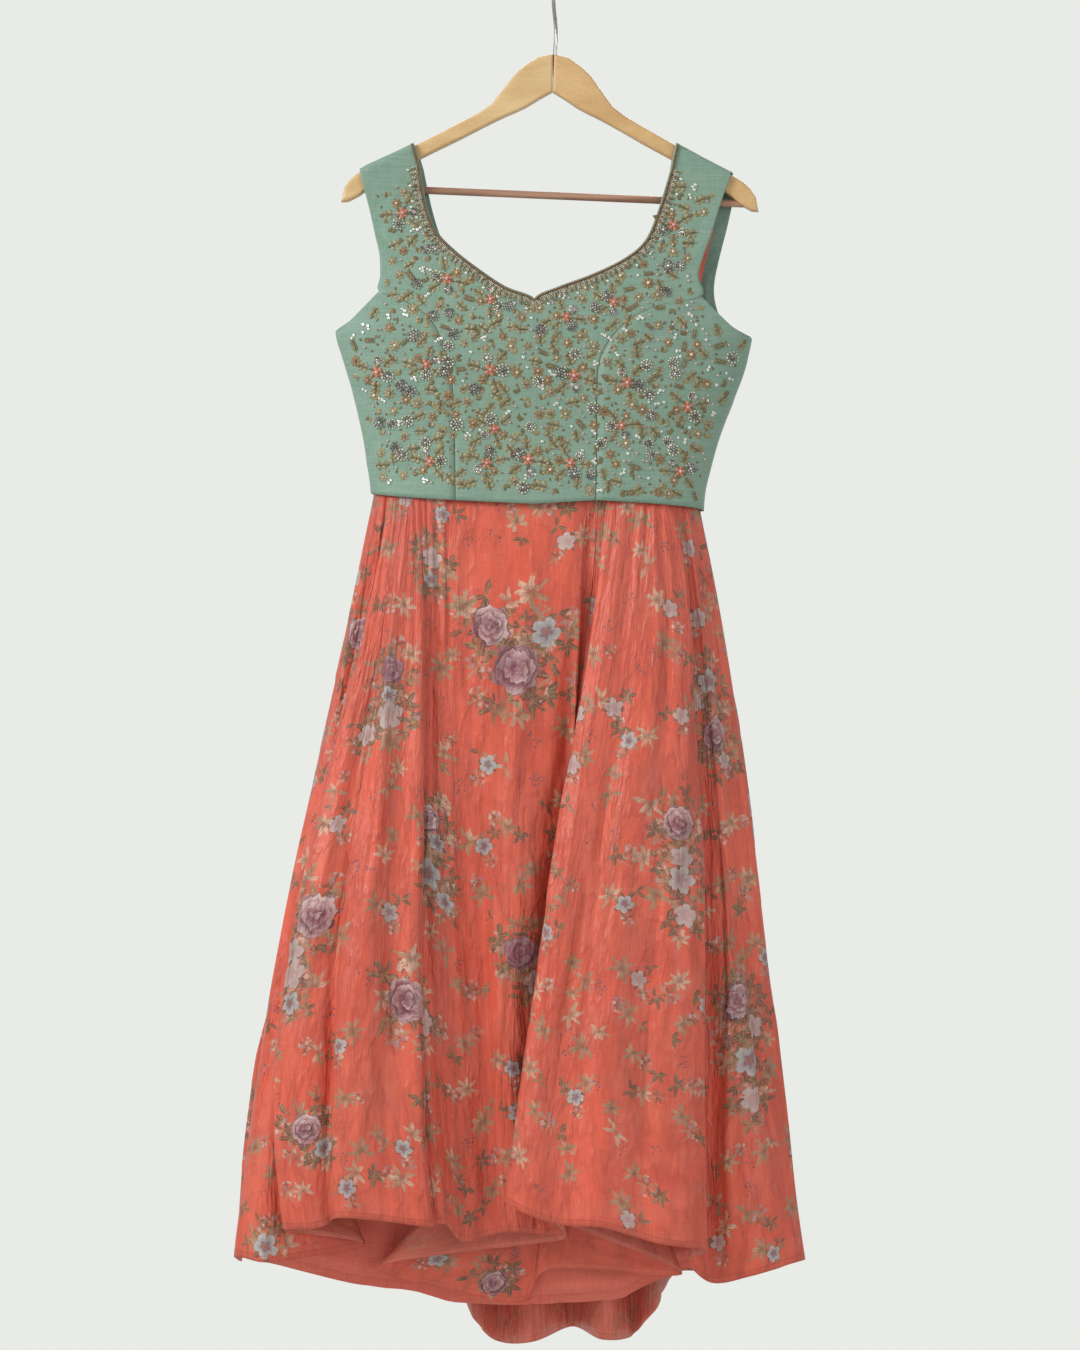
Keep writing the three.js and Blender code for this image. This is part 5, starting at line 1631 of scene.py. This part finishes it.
# %% Band along the neck
BEAD_ROWS = (  # inset from the neck edge, gap from bead to bead, and size
    (4.4, 1.75, 0.78), (6.1, 1.8, 0.84), (7.8, 1.9, 0.84), (9.5, 2.3, 0.78))
band_work = Needlework(seed=31)
for inset, gap, size in BEAD_ROWS:
    beads, _ = spaced(neck_line(inset), gap)
    for k, (x, z) in enumerate(beads):
        finish = "silver" if (k + int(inset)) % 6 else "smoke"
        band_work.sew("bead", finish, x, z, 0, size * band_work.rng.uniform(0.85, 1.1))
ticks, ways = spaced(neck_line(BEAD_ROWS[0][0]), gap=5.6)
for k, ((x, z), (dx, dz)) in enumerate(zip(ticks, ways)):
    away = np.arctan2(-dx, dz) - pi / 2 + band_work.rng.uniform(-0.18, 0.18)
    band_work.sew("leaf", "olive", x, z, away, band_work.rng.uniform(7.4, 8.8), 0.75, 0.7)
    band_work.sew("leaf", "gold", x + dz * 7, z - dx * 7, away + 0.8, 3.6, 1.1, 0.2)
    if k % 3 == 0:
        band_work.sew("sequin", "pearl", x + dz * 9.5, z - dx * 9.5, 0, 1.4, lift=0.3)
band_work.join("neck_beads", "bronze_cord", True)
band_work.join("neck_leaves", "bronze_cord", False)


# %% Scattered embroidery
CORAL_FLOWERS = [
    (-160, -255, 17), (-112, -327, 17), (-66, -349, 15), (-186, -425, 17), (-66, -424, 18),
    (-26, -518, 18), (18, -522, 17), (14, -368, 15), (128, -268, 17), (78, -437, 17),
    (142, -462, 17), (22, -430, 18), (-130, -520, 16), (-62, -486, 16), (134, -530, 16),
    (64, -352, 15), (-70, -522, 16), (72, -482, 15), (-134, -418, 15)]
ROOM = {"sprig": 5.6, "daisy": 5.2, "bead_cluster": 4.8, "amber": 5.4, "sequins": 3.0,
        "leaf_pair": 3.8, "stroke": 2.4, "pink": 1.9}
KINDS = ["sprig", "sprig", "sprig", "daisy", "daisy", "bead_cluster", "amber", "sequins",
         "leaf_pair", "stroke", "pink"]
TRIES, PAIRS_FROM, STROKES_FROM = 12000, 7000, 9500  # the last ones only fill what room is left
EDGE_ROOM, ARM_ROOM = 12, 22  # kept free along the edges and below the hanger's arms
field_work = Needlework(seed=33)
rng = field_work.rng
taken = [(x, z, size * 0.95) for x, z, size in CORAL_FLOWERS]
for flower in CORAL_FLOWERS:
    field_work.coral_flower(*flower)
for attempt in range(TRIES):
    x, z = rng.uniform(-232, 213), rng.uniform(-558, -206)
    near_strap = z > arm_top(np.array([x]))[0] - ARM_ROOM
    if near_strap or edge_room(x, z) < EDGE_ROOM:
        continue
    kind = KINDS[int(rng.integers(len(KINDS)))] if attempt < PAIRS_FROM else "leaf_pair"
    if attempt > STROKES_FROM:
        kind = "stroke"
    near = np.array(taken)
    if (np.hypot(near[:, 0] - x, near[:, 1] - z) < ROOM[kind] + near[:, 2]).any():
        continue
    taken.append((x, z, ROOM[kind]))
    turn = rng.uniform(0, tau)
    if kind == "sprig":
        field_work.sprig(x + sin(turn) * 4, z - cos(turn) * 4, turn, rng.uniform(12.5, 16))
    elif kind == "daisy":
        field_work.daisy(x, z, rng.uniform(11, 15), "amber" if rng.random() < 0.4 else "gold")
    elif kind == "bead_cluster":
        field_work.bead_cluster(x, z, rng.uniform(9.5, 12))
    elif kind == "amber":
        field_work.amber_leaf(x, z, turn, rng.uniform(11, 14))
    elif kind == "sequins":
        field_work.sequins(x, z, int(rng.integers(1, 4)))
    elif kind == "leaf_pair":
        for bend in (-0.5, 0.5):
            field_work.sew("leaf", "olive" if rng.random() < 0.5 else "gold", x, z,
                           turn + bend, 7.4, 1.25)
    elif kind == "stroke":
        field_work.sew("leaf", "olive", x, z, turn, 4.6, 1.2)
    else:
        field_work.sew("bead", "pink", x, z, 0, 1.3)
field_work.join("front_beads", "bronze_cord", True)
field_work.join("front_embroidery", "bronze_cord", False)

# %% [markdown]
# ## The hanger
# The solids of the hanger have the right shape already, so they keep it and get a better finish:
# two halves of pale beech with their own grain, a brown stained rod and a bright wire hook.

# %% Wood and wire
def wood(name, light, dark, along, rings):
    """Pale wood: long fine grain, a few wider waves and short dark pores."""
    timber = Finish(name)
    place = timber.stretch(timber.object_place(), along)
    waves = timber.noise(place, rings, detail=4.0, roughness=0.6)
    grain = timber.noise(timber.stretch(place, (1, 6, 6)), rings * 6, detail=3.0)
    pores = timber.noise(timber.stretch(place, (3, 14, 14)), rings * 7, detail=1.0)
    colour = timber.blend(waves.ramp(0.3, 0.7), paint(*light), paint(*dark))
    colour = timber.blend(grain.ramp(0.45, 0.75) * 0.4, colour, paint(*dark))
    colour = timber.blend(pores.ramp(0.62, 0.7) * 0.5, colour,
                          paint(*(value * 0.72 for value in dark)))
    normal = timber.bump(grain, 0.0002, 0.4,
                         under=timber.add("Bevel", settings={"samples": 4}, Radius=0.0012))
    return timber.coat(colour, Roughness=grain * 0.15 + 0.3, Normal=normal, Coat_Weight=0.25,
                       Coat_Roughness=0.2)


def dress(node, finish):
    """Gives a solid that stays a new finish."""
    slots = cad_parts[node].material_slots
    for place in slots:
        place.material = finish
    print(node, "has", len(slots), "finish")


dress("hanger_arm_left", wood("beech left", (232, 200, 148), (214, 176, 120),
                              (9.0, 60.0, 34.0), 1.0))
dress("hanger_arm_right", wood("beech right", (226, 188, 132), (206, 164, 108),
                               (11.0, 60.0, 26.0), 1.2))
dress("hanger_rod", wood("brown rod", (192, 148, 122), (146, 104, 80), (7.0, 120.0, 120.0), 1.0))
wire = Finish("hook wire")
scuffs = wire.noise(wire.stretch(wire.object_place(), (500.0, 500.0, 60.0)), 1.0, detail=3.0)
dress("hanger_hook", wire.coat(
    wire.blend(scuffs.ramp(0.35, 0.7), paint(206, 206, 204), paint(150, 150, 150)),
    Metallic=1.0, Roughness=scuffs * 0.2 + 0.18, Normal=wire.bump(scuffs, 0.0001, 0.4)))

# %% Replace the solids
REPLACED = {
    "front_centre_cloth": "front_centre", "front_side_left_cloth": "front_side_left",
    "front_side_right_cloth": "front_side_right", "back_cloth": "back",
    "skirt_front_cloth": "skirt_front", "skirt_back_cloth": "skirt_back",
    "skirt_lining_cloth": "skirt_lining", "waistband_cloth": "waistband",
    "back_lining_cloth": "back_lining",
}
for cloth, node in REPLACED.items():
    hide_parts(node)
